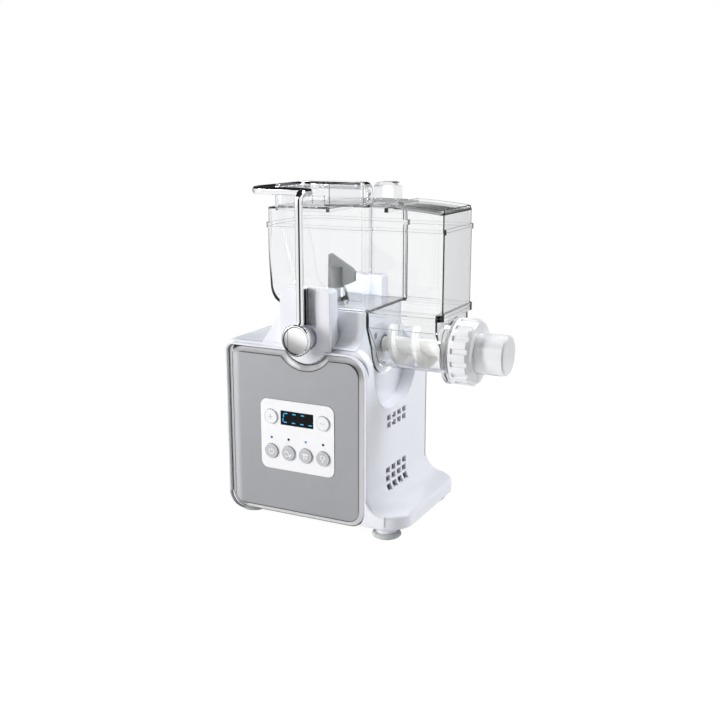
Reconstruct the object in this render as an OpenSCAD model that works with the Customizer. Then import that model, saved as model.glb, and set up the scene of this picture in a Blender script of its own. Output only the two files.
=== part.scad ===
// Electric pasta maker: a mixing bowl above a gear-driven extruder, with a locking bail.
// Millimetres, +Z up. X runs along the extruder, the control panel faces -Y, and the
// origin is on the floor under the middle of the machine's outline.

/* [Housing] */
// Width of the white housing, without the side step
body_w = 162; // [152:1:180]
// Distance from the extruder axis to the front panel
front_d = 70; // [69:0.5:80]
// Distance from the extruder axis to the back of the shell
rear_d = 78; // [76:0.5:79]
// Thickness of the rear cover
cover_t = 4; // [3.5:0.25:5]
// Height of the shell's top edge round the front panel
panel_top = 184; // [180:0.5:186]
// Rise of the housing's top behind that edge
crown_rise = 4; // [3:0.5:9]
// Height of the front panel's lower edge above the floor
panel_low = 6; // [5:0.5:10]
// Space between the floor and the housing
foot_gap = 10.5; // [8:0.5:14]
// Wall thickness of the housing
wall = 3; // [2:0.25:3.5]
// Reach of the side step beyond the housing
step_reach = 39; // [32:1:50]
// Height of the side step's edge
step_t = 13.5; // [12:0.5:18]
// Radius where the side wall runs out into the step
step_fillet = 20; // [14:1:28]
// Radius of the step's front corner, seen from above
step_front_r = 26; // [18:1:30]
// Radius of the step's rear corner, seen from above
step_rear_r = 28; // [14:1:30]
// Distance from the extruder axis to the step's rear edge
step_back = 86; // [84:0.5:86.5]
// Rounding of the step's top edge
step_edge = 3.5; // [2:0.5:5]
// Shift of the side vents towards the rear
vent_y = 2; // [0:0.5:4]
// Depth of the cradle cut into the side wall
cradle_in = 15; // [12:0.5:18]
// Half width of the cradle
cradle_half = 52; // [47:0.5:55]
// Corner radius of the cradle
cradle_r = 44; // [36:1:46]
// Drop of the cradle's floor below the extruder axis
cradle_drop = 64.6; // [55:0.5:70]

/* [Front panel] */
// Thickness of the front panel with its rim
panel_t = 6; // [5.5:0.25:8]
// How far the panel's outline stays inside the housing's
panel_inset = 2; // [1.5:0.25:3]
// Width of the bevelled rim
rim_w = 6.5; // [4:0.5:7]
// Corner radius at the top right
corner_tr = 23; // [18:1:28]
// Corner radius at the top left
corner_tl = 9; // [7:0.5:14]
// Corner radius at the bottom right
corner_br = 20; // [14:0.5:22]
// Corner radius at the bottom left
corner_bl = 18; // [12:0.5:18]
// Radius of the notch under the knob
notch_r = 28; // [26:0.5:30]

/* [Controls] */
// Width of the white control plate
plate_w = 85; // [82:1:95]
// Height of the white control plate
plate_h = 74; // [70:1:80]
// Height of the plate's lower edge above the floor
plate_low = 56; // [50:1:64]
// Distance from the panel's left edge to the plate
plate_in = 40; // [34:1:48]
// Radius of the push buttons
button_r = 7.5; // [6:0.25:8]
// Spacing of the push buttons
button_pitch = 20; // [18.5:0.5:21]
// Travel of the push buttons
button_travel = 1; // [0.5:0.1:1.4]
// How far the buttons stand out of the plate
button_proud = 1.6; // [1.5:0.1:2.5]
// Gap round each button
button_gap = 0.3; // [0.2:0.05:0.5]
// Width of the display window
window_w = 38; // [30:1:39]
// Height of the display window
window_h = 15; // [12:0.5:18]

/* [Towers and bail] */
// Width of each tower
tower_w = 56; // [50:1:64]
// Rise of the towers above the bowl's seat
tower_rise = 23; // [18:1:28]
// Width of the channel beside the bail's arm
channel_w = 15; // [12:0.5:18]
// Wall left between the channel and the bowl
channel_wall = 3.5; // [2:0.5:6]
// Height of the bail's pivot above the extruder axis
pivot_rise = 13.4; // [10:0.2:18]
// Radius of the bail's rod
rod_r = 4; // [3:0.25:4.5]
// Clear space between the panel and the bail's arm
arm_gap = 2.5; // [2:0.5:5]
// Height of the bail's bars above the lid's edge
bar_rise = 17; // [15.5:0.5:26]
// Reach of the bail's bars to the left of its arms
bar_reach = 68.5; // [60:0.5:72]
// Radius of the chrome knob
knob_r = 16; // [14:0.5:18]
// Thickness of the knob
knob_t = 6; // [4:0.5:8]
// Radius of the grey hub behind the knob
hub_r = 11.5; // [9:0.5:12]
// Radius of the pivot pins
pivot_r = 4; // [3:0.25:5]

/* [Bowl and lid] */
// Height of the bowl's rim above its seat
bowl_h = 81; // [70:1:90]
// Wall thickness of the clear parts
clear_t = 2.5; // [2:0.1:3]
// Depth of the bowl's wide part
wide_d = 100; // [96:1:104]
// Depth of the bowl's narrow part
narrow_d = 82; // [78:1:86]
// Radius of the bowl's lower left edge
bowl_corner = 24; // [14:1:28]
// How far the bowl's left end leans in towards its foot
bowl_lean = 6.5; // [2:0.5:8]
// Thickness of the bowl's rim
bowl_rim = 2; // [1.6:0.2:4]
// Distance from the housing's left wall to the bowl
bowl_in = 36.5; // [34:0.5:42]
// Reach of the bowl beyond the housing's right wall
bowl_over = 65; // [60:1:70]
// Length of the bowl's wide part
wide_l = 117.5; // [112:0.5:120]
// Height of the lid's edge above the rim
lid_h = 18; // [15:0.5:20]
// Rise of the lid's crown
lid_crown = 6; // [4:0.5:8]
// Length of the lid's pouring well
well_l = 63.5; // [50:0.5:64]
// Height of the pouring well above the lid's edge
well_h = 23; // [18:0.5:24]

/* [Extruder] */
// Height of the extruder axis above the floor
axis_h = 183.6; // [181:0.2:188]
// Height of the bowl's seat above the extruder axis
seat_rise = 38.4; // [38.4:0.2:41]
// Outer radius of the chamber's end flanges
barrel_r = 32; // [31:0.25:33]
// Outer radius of the trough round the screw
trough_r = 24; // [22:0.25:26]
// Gap between the screw's flight and the trough
flight_gap = 0.7; // [0.5:0.1:1.5]
// Pitch of the screw
screw_pitch = 26; // [22:1:32]
// Radius of the screw's core
core_r = 9; // [8:0.25:11]
// Length of the ring nut
nut_l = 21; // [19:0.5:24]
// Outer radius of the ring nut
nut_r = 33.4; // [32.5:0.1:36]
// Number of grip pads on the ring nut
nut_pads = 16; // [10:1:20]
// Length of the die head beyond the nut
head_l = 30; // [29:0.5:36]
// Outer radius of the die head
head_r = 20; // [19:0.25:22]
// Radius of the die's holes
die_hole_r = 1.2; // [0.8:0.1:1.3]

/* [Mixer] */
// Distance from the housing's left wall to the mixer and bail axes
mixer_in = 93.6; // [90:0.2:98]
// Height of the clear boss above the bowl's seat
boss_rise = 16; // [14:0.5:20]
// Radius of the paddle's hub
hub_mix_r = 8; // [7.2:0.2:9.5]
// Reach of the paddle's blade
blade_reach = 22; // [18:0.5:30]
// Radius of the mixer shaft
mixer_shaft_r = 5; // [4.5:0.1:5.2]

/* [Drive] */
// Share of the tooth thickness left free as backlash
backlash = 0.12; // [0.1:0.01:0.2]
// Radius of the output shaft
output_shaft_r = 5; // [4.5:0.1:5.2]
// Running clearance of shafts in their bushes
running = 0.05; // [0.03:0.01:0.08]
// Radius of the motor
motor_r = 30; // [26:0.5:32]
// Length of the motor
motor_l = 78; // [64:1:80]
// Radius of the cooling fan
fan_r = 27; // [22:0.5:29]

/* [Electronics] */
// Length of the power board
power_l = 112; // [100:1:114]
// Depth of the power board
power_d = 96; // [80:1:100]
// Height of the power board above the base
power_rise = 9; // [6:0.5:10]
// Thickness of the circuit boards
board_t = 1.6; // [1:0.1:2]

/* [Feet] */
// Radius of the rubber feet
foot_r = 14.8; // [13:0.2:16]
// Height of the rubber feet
foot_h = 4.5; // [4:0.5:6]
// Step between a foot and the boss above it
foot_ledge = 4.3; // [2:0.1:6]

/* [Hidden] */
$fn = 64;

// Clearances: rest_gap between seated pieces, cut is how far a cutter runs past a face.
rest_gap = 0.3;
fit_gap = 0.05;
cut = 1;

// Overall length, and the stations along X that hang from it
neck_l = 5;
nut_back = neck_l + 3;
overall_l = body_w + bowl_over - 4 + nut_back + nut_l + head_l;
left_x = -overall_l / 2;
right_x = left_x + body_w;
step_x = right_x + step_reach;
pivot_x = left_x + mixer_in;
cradle_x = right_x - cradle_in;
bowl_l = left_x + bowl_in;
bowl_r = right_x + bowl_over;
step_bowl = bowl_l + wide_l;
chamber_l = cradle_x + 2 * rest_gap;
chamber_r = bowl_r - 4;
nut_x = chamber_r + nut_back;
head_x = nut_x + nut_l;
end_x = head_x + head_l;

// Stations along Y: the bail is alike on both sides, the housing reaches farther back
front_y = -front_d;
shell_y = front_d - panel_t;
arm_y = front_d + arm_gap + rod_r;
knob_back = arm_y + rod_r + rest_gap;
rear_y = rear_d;
cover_y = rear_y + cover_t;
rim_drop = panel_t - 1.2;
skirt_y = front_y + 0.5;
tower_out = front_d - 2;
tower_in = wide_d / 2 + 1.5;
channel_d = tower_out - tower_in - channel_wall;
bar_y = wide_d / 2 + 2.5;
hump_half = tower_in - 5.5;

// Heights
crown_z = panel_top + crown_rise;
seat_z = axis_h + seat_rise;
tower_z = seat_z + tower_rise;
pivot_z = axis_h + pivot_rise;
bowl_low = seat_z + rest_gap;
rim_z = seat_z + bowl_h;
lid_low = rim_z + rest_gap;
lid_z = rim_z + lid_h;
well_z = lid_z + well_h;
bar_z = lid_z + bar_rise;
step_z = foot_gap + step_t;

// Gears: modules, teeth, pitch radii and stations
fast_module = 1;
slow_module = 1.5;
fast_small = 13;
fast_large = 65;
slow_small = 13;
slow_large = 39;
bevel_teeth = 20;
bevel_module = 1.5;
bevel_pitch_r = bevel_teeth * bevel_module / 2;
cluster_z = axis_h - (slow_small + slow_large) * slow_module / 2;
motor_z = cluster_z - (fast_small + fast_large) * fast_module / 2;
plate_t = 4;
cover_r = cradle_x - wall - rest_gap;
cover_l = cover_r - plate_t;
fast_w = 7;
slow_w = 9;
fast_x = cover_l - 1.2 - fast_w;
slow_x = fast_x - 2 - slow_w;
case_r = slow_x - 2;
case_l = case_r - plate_t;
motor_x = case_l - rest_gap;
bush_wall = 2.5;
shaft_r = 3;
axle_r = 4;

// Screw, neck, nut and die head
flight_r = trough_r - clear_t - flight_gap;
neck_r = 28.6;
head_flange_r = neck_r - 1;
head_flange_t = 3;
nut_front = 3.5;
head_wall = 3;
die_w = 25;
die_d = 13;
die_t = 4;

// Cord gland in the rear cover
cover_wall = 2.2;
gland_x = left_x + 34;
gland_z = foot_gap + 22;
gland_r = 6;

// Fasteners
screw_r = 1.8;
head_screw_r = 3.2;
boss_r = 5;

// ---------- drawing helpers ----------

// A drawing in X and Z becomes a block between two stations along Y.
module along_y(y0, y1) {
    translate([0, y1, 0])
        rotate([90, 0, 0])
            linear_extrude(y1 - y0)
                children();
}

// A drawing in Y and Z becomes a block between two stations along X.
module along_x(x0, x1) {
    translate([x0, 0, 0])
        rotate([90, 0, 90])
            linear_extrude(x1 - x0)
                children();
}

// Rod or bore along Y, and along X
module rod_y(x, z, r, y0, y1) {
    translate([x, y1, z])
        rotate([90, 0, 0])
            cylinder(r = r, h = y1 - y0);
}

module rod_x(y, z, r, x0, x1) {
    translate([x0, y, z])
        rotate([0, 90, 0])
            cylinder(r = r, h = x1 - x0);
}

module both_sides() {
    children();
    mirror([0, 1, 0]) children();
}

// Rectangle with its own radius at each corner: lower left, lower right, upper right, upper left
module round_rect(a, b, r) {
    corners = [
        [a[0], a[1], 1, 1, r[0]], [b[0], a[1], -1, 1, r[1]],
        [b[0], b[1], -1, -1, r[2]], [a[0], b[1], 1, -1, r[3]]
    ];
    difference() {
        translate(a) square([b[0] - a[0], b[1] - a[1]]);
        for (c = corners) {
            if (c[4] > 0)
                translate([c[0], c[1]])
                    scale([c[2], c[3]])
                        difference() {
                            translate([-cut, -cut]) square(c[4] + cut);
                            translate([c[4], c[4]]) circle(c[4]);
                        }
        }
    }
}

// Concave corner of radius r, filling the angle at the origin towards +X and +Y
module hollow_corner(r) {
    difference() {
        translate([-0.5, -0.5]) square(r + 0.5);
        translate([r, r]) circle(r);
    }
}

module screw(length) {
    cylinder(r = screw_r, h = length);
    translate([0, 0, -2]) cylinder(r = head_screw_r, h = 2);
}

// ---------- housing ----------

// Outline of the panel seen from the front, set in by t from the housing's sides
base_l = left_x + 0.75 * corner_bl;
module panel_outline(t) {
    round_rect([left_x + t, panel_low - panel_inset + t], [right_x - t, panel_top - t],
        [corner_bl - t, corner_br - t, corner_tr - t, max(corner_tl - t, 3)]);
}

// Outline of the rear cover
module cover_outline(t) {
    round_rect([left_x + t, foot_gap + t], [right_x - t, panel_top - panel_inset - t],
        [corner_bl - t, 2, corner_tr - t, corner_tl - t]);
}

// Thin edge of the shell that frames the panel
module front_skirt() {
    along_y(skirt_y, -shell_y + 1.5)
        difference() {
            round_rect([left_x, foot_gap], [right_x, panel_top], [corner_bl, 0, corner_tr, corner_tl]);
            panel_outline(panel_inset - rest_gap);
            translate([pivot_x, pivot_z]) circle(notch_r - 2);
        }
}

// Body of the housing seen from the front, with the hump under the bowl
module front_profile(t) {
    slope_r = seat_z - crown_z;
    tower_l = pivot_x - tower_w / 2;
    round_rect([left_x + t, foot_gap + t], [right_x - t, crown_z - t],
        [corner_bl - t, 0, corner_tr - t, corner_tl - t]);
    if (t > 0)
        translate([base_l, foot_gap - cut]) square([right_x - t - base_l, 2 * wall]);
    translate([tower_l + t, panel_top - wall - cut])
        square([cradle_x - tower_l - 2 * t, seat_z - t - panel_top + wall + cut]);
    if (t == 0)
        translate([tower_l, crown_z]) mirror([1, 0]) hollow_corner(slope_r);
}

// Housing seen from the side: rounded shoulders and the hump
module side_profile(t) {
    round_rect([-shell_y + t, foot_gap - cut], [rear_y - t, crown_z - t], [0, 0, 8 - t, 8 - t]);
    translate([-hump_half + t, panel_top - wall - cut])
        square([2 * (hump_half - t), seat_z - t - panel_top + wall + cut]);
    if (t == 0)
        both_sides_2d()
            translate([hump_half, crown_z]) hollow_corner(shell_y - hump_half);
}

module both_sides_2d() {
    children();
    mirror([1, 0]) children();
}

// Body seen from above
module body_plan(t) {
    round_rect([left_x + t, -shell_y + t], [right_x - t, rear_y - t], [0, 0, 0, 6 - t]);
}

// Step seen from above: large round corners, and its face flush with the front panel
module step_outline(t) {
    round_rect([right_x + t, front_y + t], [step_x - t, step_back - t],
        [0, step_front_r - t, step_rear_r - t, 0]);
}

module step_plan(t) {
    step_outline(t);
    inner_l = right_x - (t > 0 ? 2 * wall : 0.6 * corner_br);
    translate([inner_l, t > 0 ? -shell_y + t : front_y])
        square([right_x + t + 1 - inner_l, rear_y - t - (t > 0 ? -shell_y + t : front_y)]);
}

// Outside of the step, with its top edge rounded along the sides, the corners and the fillet
module step_form() {
    e = step_edge;
    bend = step_fillet + e;
    y0 = front_y + e;
    y1 = step_back - e;
    translate([0, 0, foot_gap]) {
        linear_extrude(step_t - e) step_plan(0);
        intersection() {
            linear_extrude(step_t) step_plan(0);
            translate([0, y0, 0]) cube([step_x - e, y1 - y0, step_z]);
            linear_extrude(step_t)
                round_rect([left_x, y0], [step_x - e, y1], [0, step_front_r - e, step_rear_r - e, 0]);
        }
    }
    rod_x(y0, step_z - e, e, right_x, step_x - step_front_r);
    rod_x(y1, step_z - e, e, right_x, step_x - step_rear_r);
    rod_y(step_x - e, step_z - e, e, front_y + step_front_r, step_back - step_rear_r);
    translate([step_x - step_front_r, front_y + step_front_r, step_z - e])
        rotate([0, 0, -90]) rotate_extrude(angle = 90) translate([step_front_r - e, 0]) circle(e);
    translate([step_x - step_rear_r, step_back - step_rear_r, step_z - e])
        rotate_extrude(angle = 90) translate([step_rear_r - e, 0]) circle(e);
    // fillet against the side wall
    along_y(y0, y1) fillet_outline(step_fillet, 0);
    along_y(front_y, step_back) fillet_outline(bend, e);
    for (y = [y0, y1])
        translate([right_x + step_fillet, y, step_z + step_fillet])
            rotate([90, 0, 0]) rotate([0, 0, 180]) rotate_extrude(angle = 90) translate([bend, 0]) circle(e);
}

// Fillet seen from the front, its arc of radius r about one centre; in is how far its square stays back
module fillet_outline(r, in) {
    difference() {
        translate([right_x - 1, foot_gap + wall])
            square([step_fillet + 1, step_z + step_fillet - foot_gap - wall]);
        translate([right_x + step_fillet, step_z + step_fillet]) circle(r);
        translate([right_x - 2, step_z + step_fillet - (in > 0 ? sqrt(r * r - step_fillet * step_fillet) : 0)])
            square([step_fillet + 2, step_fillet]);
    }
}

// Space inside the step
module step_cavity() {
    t = wall;
    translate([0, 0, foot_gap - cut]) linear_extrude(step_t + cut - t) step_plan(t);
    along_y(-shell_y + t, rear_y - t)
        translate([right_x - t, step_z - t])
            difference() {
                translate([-0.5, -0.5]) square(step_fillet + t);
                translate([step_fillet + t, step_fillet + t]) circle(step_fillet + t);
            }
}

module housing_form(t) {
    intersection() {
        along_y(-shell_y - cut, rear_y + cut) front_profile(t);
        along_x(left_x - cut, right_x + cut) side_profile(t);
        translate([0, 0, foot_gap - (t > 0 ? cut : 0)])
            linear_extrude(seat_z) body_plan(t);
    }
}

// Tower seen from the front, with the round boss that fills the panel's notch
module tower_front() {
    low = panel_top - 1;
    round_rect([pivot_x - tower_w / 2, low], [pivot_x + tower_w / 2, tower_z], [0, 0, 4, 4]);
    translate([pivot_x, pivot_z]) circle(notch_r - 1.5);
}

module tower_solid() {
    // the part in front of the shell stands in the notch, the part behind reaches down into the shell
    along_y(-tower_out, -shell_y + cut) tower_front();
    along_y(-shell_y + wall / 2, -tower_in)
        round_rect([pivot_x - tower_w / 2, panel_top - 2 * wall],
            [pivot_x + tower_w / 2, tower_z], [0, 0, 4, 4]);
    along_y(-shell_y, -tower_in + 7) translate([pivot_x, pivot_z]) circle(hub_r + 2.5);
}

module tower_cuts() {
    // channel beside the arm, its floor falls towards the front
    channel_low = pivot_z + hub_r;
    translate([pivot_x - 2.6, -tower_out - cut, channel_low])
        cube([channel_w, channel_d + cut, tower_z]);
    // round recess for the hub, and the seat of the pivot pin
    rod_y(pivot_x, pivot_z, hub_r + 2, -cover_y - cut, -tower_out + 11);
    rod_y(pivot_x, pivot_z, pivot_r + fit_gap, -tower_out, 0);
}

// U outline of the cradle, seen from the side
module cradle_outline(grow) {
    r = cradle_r + grow;
    side = cradle_half - cradle_r;
    low_z = axis_h - cradle_drop + cradle_r;
    both_sides_2d() translate([side, low_z]) circle(r);
    translate([-side, low_z - r]) square([2 * side, r]);
    translate([-side - r, low_z]) square([2 * (side + r), seat_z]);
}

// Block of vent cells: columns, rows, top edge, pitches and size of a cell
module vent_cells(cols, rows, top, pitch_y, pitch_z, cell_w, cell_h) {
    for (c = [0 : cols - 1], r = [0 : rows - 1])
        translate([cradle_x, vent_y + (c - (cols - 1) / 2) * pitch_y - cell_w / 2, top - r * pitch_z - cell_h])
            cube([step_x - cradle_x, cell_w, cell_h]);
}

module base_post_places() {
    for (x = [left_x + 44, right_x - 10], y = [-shell_y + wall + 4, rear_y - wall - 4])
        translate([x, y]) children();
}

// Places of the board's four screws
module board_corners(y) {
    for (x = [plate_x() - 3, plate_x() + plate_w + 3], z = [plate_low - 4, plate_low + plate_h + 4])
        translate([x, y, z]) children();
}

function plate_x() = left_x + panel_inset + plate_in;
function plate_mid() = plate_x() + plate_w / 2;

module main_housing() {
    color("white")
    difference() {
        union() {
            difference() {
                union() {
                    housing_form(0);
                    difference() {
                        step_form();
                        // room for the front panel and the rear cover
                        along_y(front_y - cut, -shell_y) panel_outline(panel_inset - rest_gap);
                        along_y(rear_y, step_back + cut) cover_outline(-rest_gap);
                    }
                }
                difference() {
                    union() {
                        housing_form(wall);
                        step_cavity();
                    }
                    // wall behind the cradle
                    along_x(cradle_x - wall, step_x) cradle_outline(wall);
                }
            }
            front_skirt();
            both_sides() tower_solid();
            // boss that holds the mixer bush
            translate([pivot_x, 0, seat_z - 14]) cylinder(r = 12, h = 13);
            // posts for the base screws
            translate([0, 0, foot_gap + wall + rest_gap])
                base_post_places() cylinder(r = boss_r, h = 24);
            // standoffs for the control board
            board_corners(-shell_y + wall / 2)
                rotate([-90, 0, 0]) cylinder(r = 3.5, h = 6.5);
        }
        // cradle, open to the side and above
        along_x(cradle_x, step_x + cut) cradle_outline(0);
        both_sides() tower_cuts();
        // window behind the controls
        along_y(-shell_y - cut, -shell_y + wall + cut)
            round_rect([plate_x() + 1, plate_low + 1],
                [plate_x() + plate_w - 1, plate_low + plate_h - 1], [3, 3, 3, 3]);
        // the rear is closed by the cover
        along_y(rear_y - wall - cut, rear_y + cut)
            round_rect([left_x + 20, foot_gap + 12], [right_x - 22, panel_top - 42], [6, 6, 6, 6]);
        // holes for the shafts
        rod_x(0, axis_h, output_shaft_r + 5, cradle_x - wall - cut, cradle_x + cut);
        translate([pivot_x, 0, seat_z - 20]) cylinder(r = mixer_shaft_r + bush_wall + fit_gap, h = 30);
        // side vents
        vent_cells(4, 2, axis_h - cradle_drop - 6, 12.4, 8, 8.4, 6);
        vent_cells(4, 3, step_z + step_fillet + 13, 13.3, 9, 9, 6.6);
        // screws that hold the gearbox against the cradle's wall
        gearbox_mounts() rod_x(0, 0, screw_r + fit_gap, cradle_x - wall - cut, cradle_x + cut);
        gearbox_mounts() rod_x(0, 0, head_screw_r + 0.2, cradle_x - 2.2, cradle_x + cut);
        // pilot holes
        translate([0, 0, foot_gap + wall])
            base_post_places() cylinder(r = screw_r + fit_gap, h = 20);
        board_corners(-shell_y + wall)
            rotate([-90, 0, 0]) cylinder(r = screw_r + fit_gap, h = 8);
        cover_corners(rear_y - wall - 2)
            rotate([-90, 0, 0]) cylinder(r = screw_r + fit_gap, h = 8);
    }
}

// ---------- base, rear cover, feet ----------

// Feet, each held by its screw in a boss of the base
module foot_places() {
    right = step_x - 22.5;
    left = left_x + 17.5;
    for (p = [[right, front_y + 14], [right, step_back - 25], [left, -shell_y + 16], [left, rear_y - 26]])
        translate(p) children();
}

module base_outline() {
    t = wall + rest_gap;
    round_rect([base_l + rest_gap, -shell_y + t], [right_x + 2 * t, rear_y - t], [0, 0, 0, 0]);
    step_outline(t);
}

module base_plate() {
    color("whitesmoke")
    difference() {
        union() {
            translate([0, 0, foot_gap])
                linear_extrude(wall) base_outline();
            // bosses over the feet: below the housing's edge, and up into the plate
            translate([0, 0, foot_h])
                foot_places() cylinder(r = foot_r - foot_ledge, h = foot_gap - foot_h - rest_gap);
            translate([0, 0, foot_h + 1])
                linear_extrude(foot_gap - foot_h)
                    intersection() {
                        foot_places() circle(foot_r - foot_ledge);
                        base_outline();
                    }
            // standoffs of the power board
            translate([0, 0, foot_gap])
                power_board_corners() cylinder(r = 3.5, h = power_rise);
        }
        for (i = [0 : 8])
            translate([left_x + 40 + i * 9, -24, foot_gap - cut])
                linear_extrude(wall + 2 * cut) round_rect([0, 0], [4, 48], [2, 2, 2, 2]);
        translate([0, 0, foot_gap - cut])
            base_post_places() cylinder(r = screw_r + fit_gap, h = 2 * wall);
        translate([0, 0, foot_h - cut])
            foot_places() cylinder(r = screw_r + fit_gap, h = foot_gap);
        translate([0, 0, foot_gap + 2])
            power_board_corners() cylinder(r = screw_r + fit_gap, h = 9);
    }
}

module feet() {
    color("dimgray")
    foot_places()
        difference() {
            rotate_extrude()
                polygon([[0, 0], [foot_r - 1.5, 0], [foot_r, 1.5], [foot_r, foot_h - 2],
                    [foot_r - 1, foot_h - 0.2], [0, foot_h - 0.2]]);
            translate([0, 0, -cut]) cylinder(r = head_screw_r + 0.4, h = 3.5 + cut);
            cylinder(r = screw_r + fit_gap, h = foot_h + cut);
        }
}

module foot_screws() {
    color("silver")
    translate([0, 0, 3.5])
        foot_places() screw(foot_gap);
}

module base_screws() {
    color("silver")
    translate([0, 0, foot_gap])
        base_post_places() screw(16);
}

module cover_corners(y) {
    for (x = [left_x + 14, right_x - 14], z = [foot_gap + 16, panel_top - 34])
        translate([x, y, z]) children();
}

// Slab in front of back_y between an outline and one set farther in, with the notch and its bevel
module bevelled_slab(back_y, depth, drop, in) {
    difference() {
        hull() {
            along_y(-back_y - depth + drop, -back_y) children(0);
            along_y(-back_y - depth, -back_y - depth + 0.5) children(1);
        }
        rod_y(pivot_x, pivot_z, notch_r, -back_y - depth - cut, -back_y + cut);
        translate([pivot_x, -back_y - depth + drop, pivot_z])
            rotate([90, 0, 0]) cylinder(r1 = notch_r, r2 = notch_r + in * (drop + cut) / drop, h = drop + cut);
    }
}

module rear_cover() {
    color("silver")
    mirror([0, 1, 0])
    difference() {
        bevelled_slab(rear_y, cover_t, 1.2, 1.2) {
            cover_outline(0, $fn = 32);
            cover_outline(1.2, $fn = 32);
        }
        // hollow back, leaving a shell
        along_y(-cover_y + cover_wall, -rear_y + cut)
            difference() {
                cover_outline(wall + 4);
                translate([pivot_x, pivot_z]) circle(notch_r + 9);
                for (x = [left_x + 14, right_x - 14], z = [foot_gap + 16, panel_top - 34])
                    translate([x, z]) circle(boss_r);
            }
        // outlet louvres
        for (i = [0 : 8])
            along_y(-cover_y - cut, -rear_y + cut)
                round_rect([pivot_x - 34, 66 + i * 8], [pivot_x + 34, 70 + i * 8], [2, 2, 2, 2]);
        cover_corners(-cover_y - cut)
            rotate([-90, 0, 0]) cylinder(r = screw_r + fit_gap, h = cover_t + 2 * cut);
        cover_corners(-cover_y - cut)
            rotate([-90, 0, 0]) cylinder(r = head_screw_r + 0.3, h = 2.4 + cut);
        rod_y(gland_x, gland_z, gland_r + fit_gap, -cover_y - cut, -rear_y + cut);
    }
}

module cover_screws() {
    color("silver")
    cover_corners(cover_y - 2.4)
        rotate([90, 0, 0]) screw(cover_t);
}

// Gland ring for the mains cord, with a groove that grips the cover
module cord_gland() {
    lip = 2;
    color("dimgray")
    translate([gland_x, cover_y - cover_wall - rest_gap - lip, gland_z])
        rotate([-90, 0, 0])
            difference() {
                union() {
                    cylinder(r = gland_r, h = 8.5);
                    cylinder(r = gland_r + 2.5, h = lip);
                    translate([0, 0, lip + cover_wall + 2 * rest_gap]) cylinder(r = gland_r + 2.5, h = 2.5);
                }
                translate([0, 0, -cut]) cylinder(r = 4, h = 12);
            }
}

// ---------- front panel and controls ----------

module front_panel() {
    face_t = 3;
    color("silver")
    difference() {
        along_y(front_y + rest_gap, front_y + rest_gap + face_t)
            difference() {
                panel_outline(panel_inset + rim_w + rest_gap);
                translate([pivot_x, pivot_z]) circle(notch_r + rim_w + rest_gap);
            }
        along_y(front_y - cut, front_y + panel_t)
            round_rect([plate_x() - rest_gap, plate_low - rest_gap],
                [plate_x() + plate_w + rest_gap, plate_low + plate_h + rest_gap], [8, 8, 8, 8]);
    }
}

module panel_rim() {
    color("lightgray")
    difference() {
        bevelled_slab(shell_y, panel_t, rim_drop, rim_w - 0.2) {
            panel_outline(panel_inset, $fn = 32);
            panel_outline(panel_inset + rim_w - 0.2, $fn = 32);
        }
        // seat of the panel, with a ledge behind it
        along_y(front_y - cut, front_y + rest_gap + 3 + rest_gap)
            difference() {
                panel_outline(panel_inset + rim_w);
                translate([pivot_x, pivot_z]) circle(notch_r + rim_w);
            }
        along_y(front_y - cut, front_y + panel_t + cut)
            difference() {
                panel_outline(panel_inset + rim_w + 3);
                translate([pivot_x, pivot_z]) circle(notch_r + rim_w + 3);
            }
    }
}

function button_x(i) = plate_mid() + (i - 1.5) * button_pitch;
function low_button_z() = plate_low + 19;
function high_button_z() = plate_low + 55.8;
function button_places() = [
    [button_x(0), low_button_z()], [button_x(1), low_button_z()], [button_x(2), low_button_z()],
    [button_x(3), low_button_z()], [button_x(0), high_button_z()], [button_x(3), high_button_z()]
];

module light_places() {
    for (i = [0 : 3])
        translate([button_x(i), 0, low_button_z() + 14.4]) children();
}

plate_depth = 4;
board_y = -shell_y + wall + 5.5;
module control_plate() {
    color("white")
    difference() {
        along_y(front_y - 0.4, front_y + plate_depth)
            round_rect([plate_x(), plate_low],
                [plate_x() + plate_w, plate_low + plate_h], [7.7, 7.7, 7.7, 7.7]);
        for (p = button_places())
            rod_y(p[0], p[1], button_r + button_gap, front_y - cut, front_y + plate_depth + cut);
        light_places() rod_y(0, 0, 1.25 + fit_gap, front_y - cut, front_y + plate_depth + cut);
        along_y(front_y - cut, front_y + plate_depth + cut)
            translate([plate_mid(), high_button_z()])
                square([window_w + 2 * fit_gap, window_h + 2 * fit_gap], center = true);
    }
}

module display_window() {
    color("black")
    along_y(front_y - 0.2, front_y + plate_depth - rest_gap)
        translate([plate_mid(), high_button_z()])
            square([window_w, window_h], center = true);
}

// Four seven-segment digits behind the window: one bracket and rows of dashes
module display_segments() {
    color("deepskyblue") {
        pitch = window_w * 0.256;
        left = plate_mid() - 1.37 * pitch;
        along_y(front_y - 0.45, front_y - 0.2) {
            for (i = [0 : 3])
                translate([left + i * pitch - 0.4, high_button_z() - 4.4]) square([3.8, 1], center = true);
            for (i = [0 : 2])
                translate([left + i * pitch + 0.4, high_button_z() + 4.8]) square([3.8, 1], center = true);
            for (s = [-1, 1])
                translate([left - 2.6 + s * 0.3, high_button_z() + 0.2 + s * 2.3])
                    square([1, 3.4], center = true);
        }
    }
}

module indicator_lights() {
    color("mediumslateblue")
    light_places() rod_y(0, 0, 1.25, front_y - 0.6, front_y + plate_depth);
}

// A push button: round cap, collar behind the plate and a stem towards its switch
module button(i) {
    p = button_places()[i];
    collar_y = front_y + plate_depth + rest_gap;
    rod_y(p[0], p[1], button_r, front_y - 0.4 - button_proud, collar_y);
    rod_y(p[0], p[1], button_r + 1.4, collar_y, collar_y + 1);
    rod_y(p[0], p[1], 2.2, collar_y, switch_y() - button_travel - rest_gap);
}

function switch_y() = board_y - 2;

module power_button() {
    color("darkgray") button(0);
}

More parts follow.
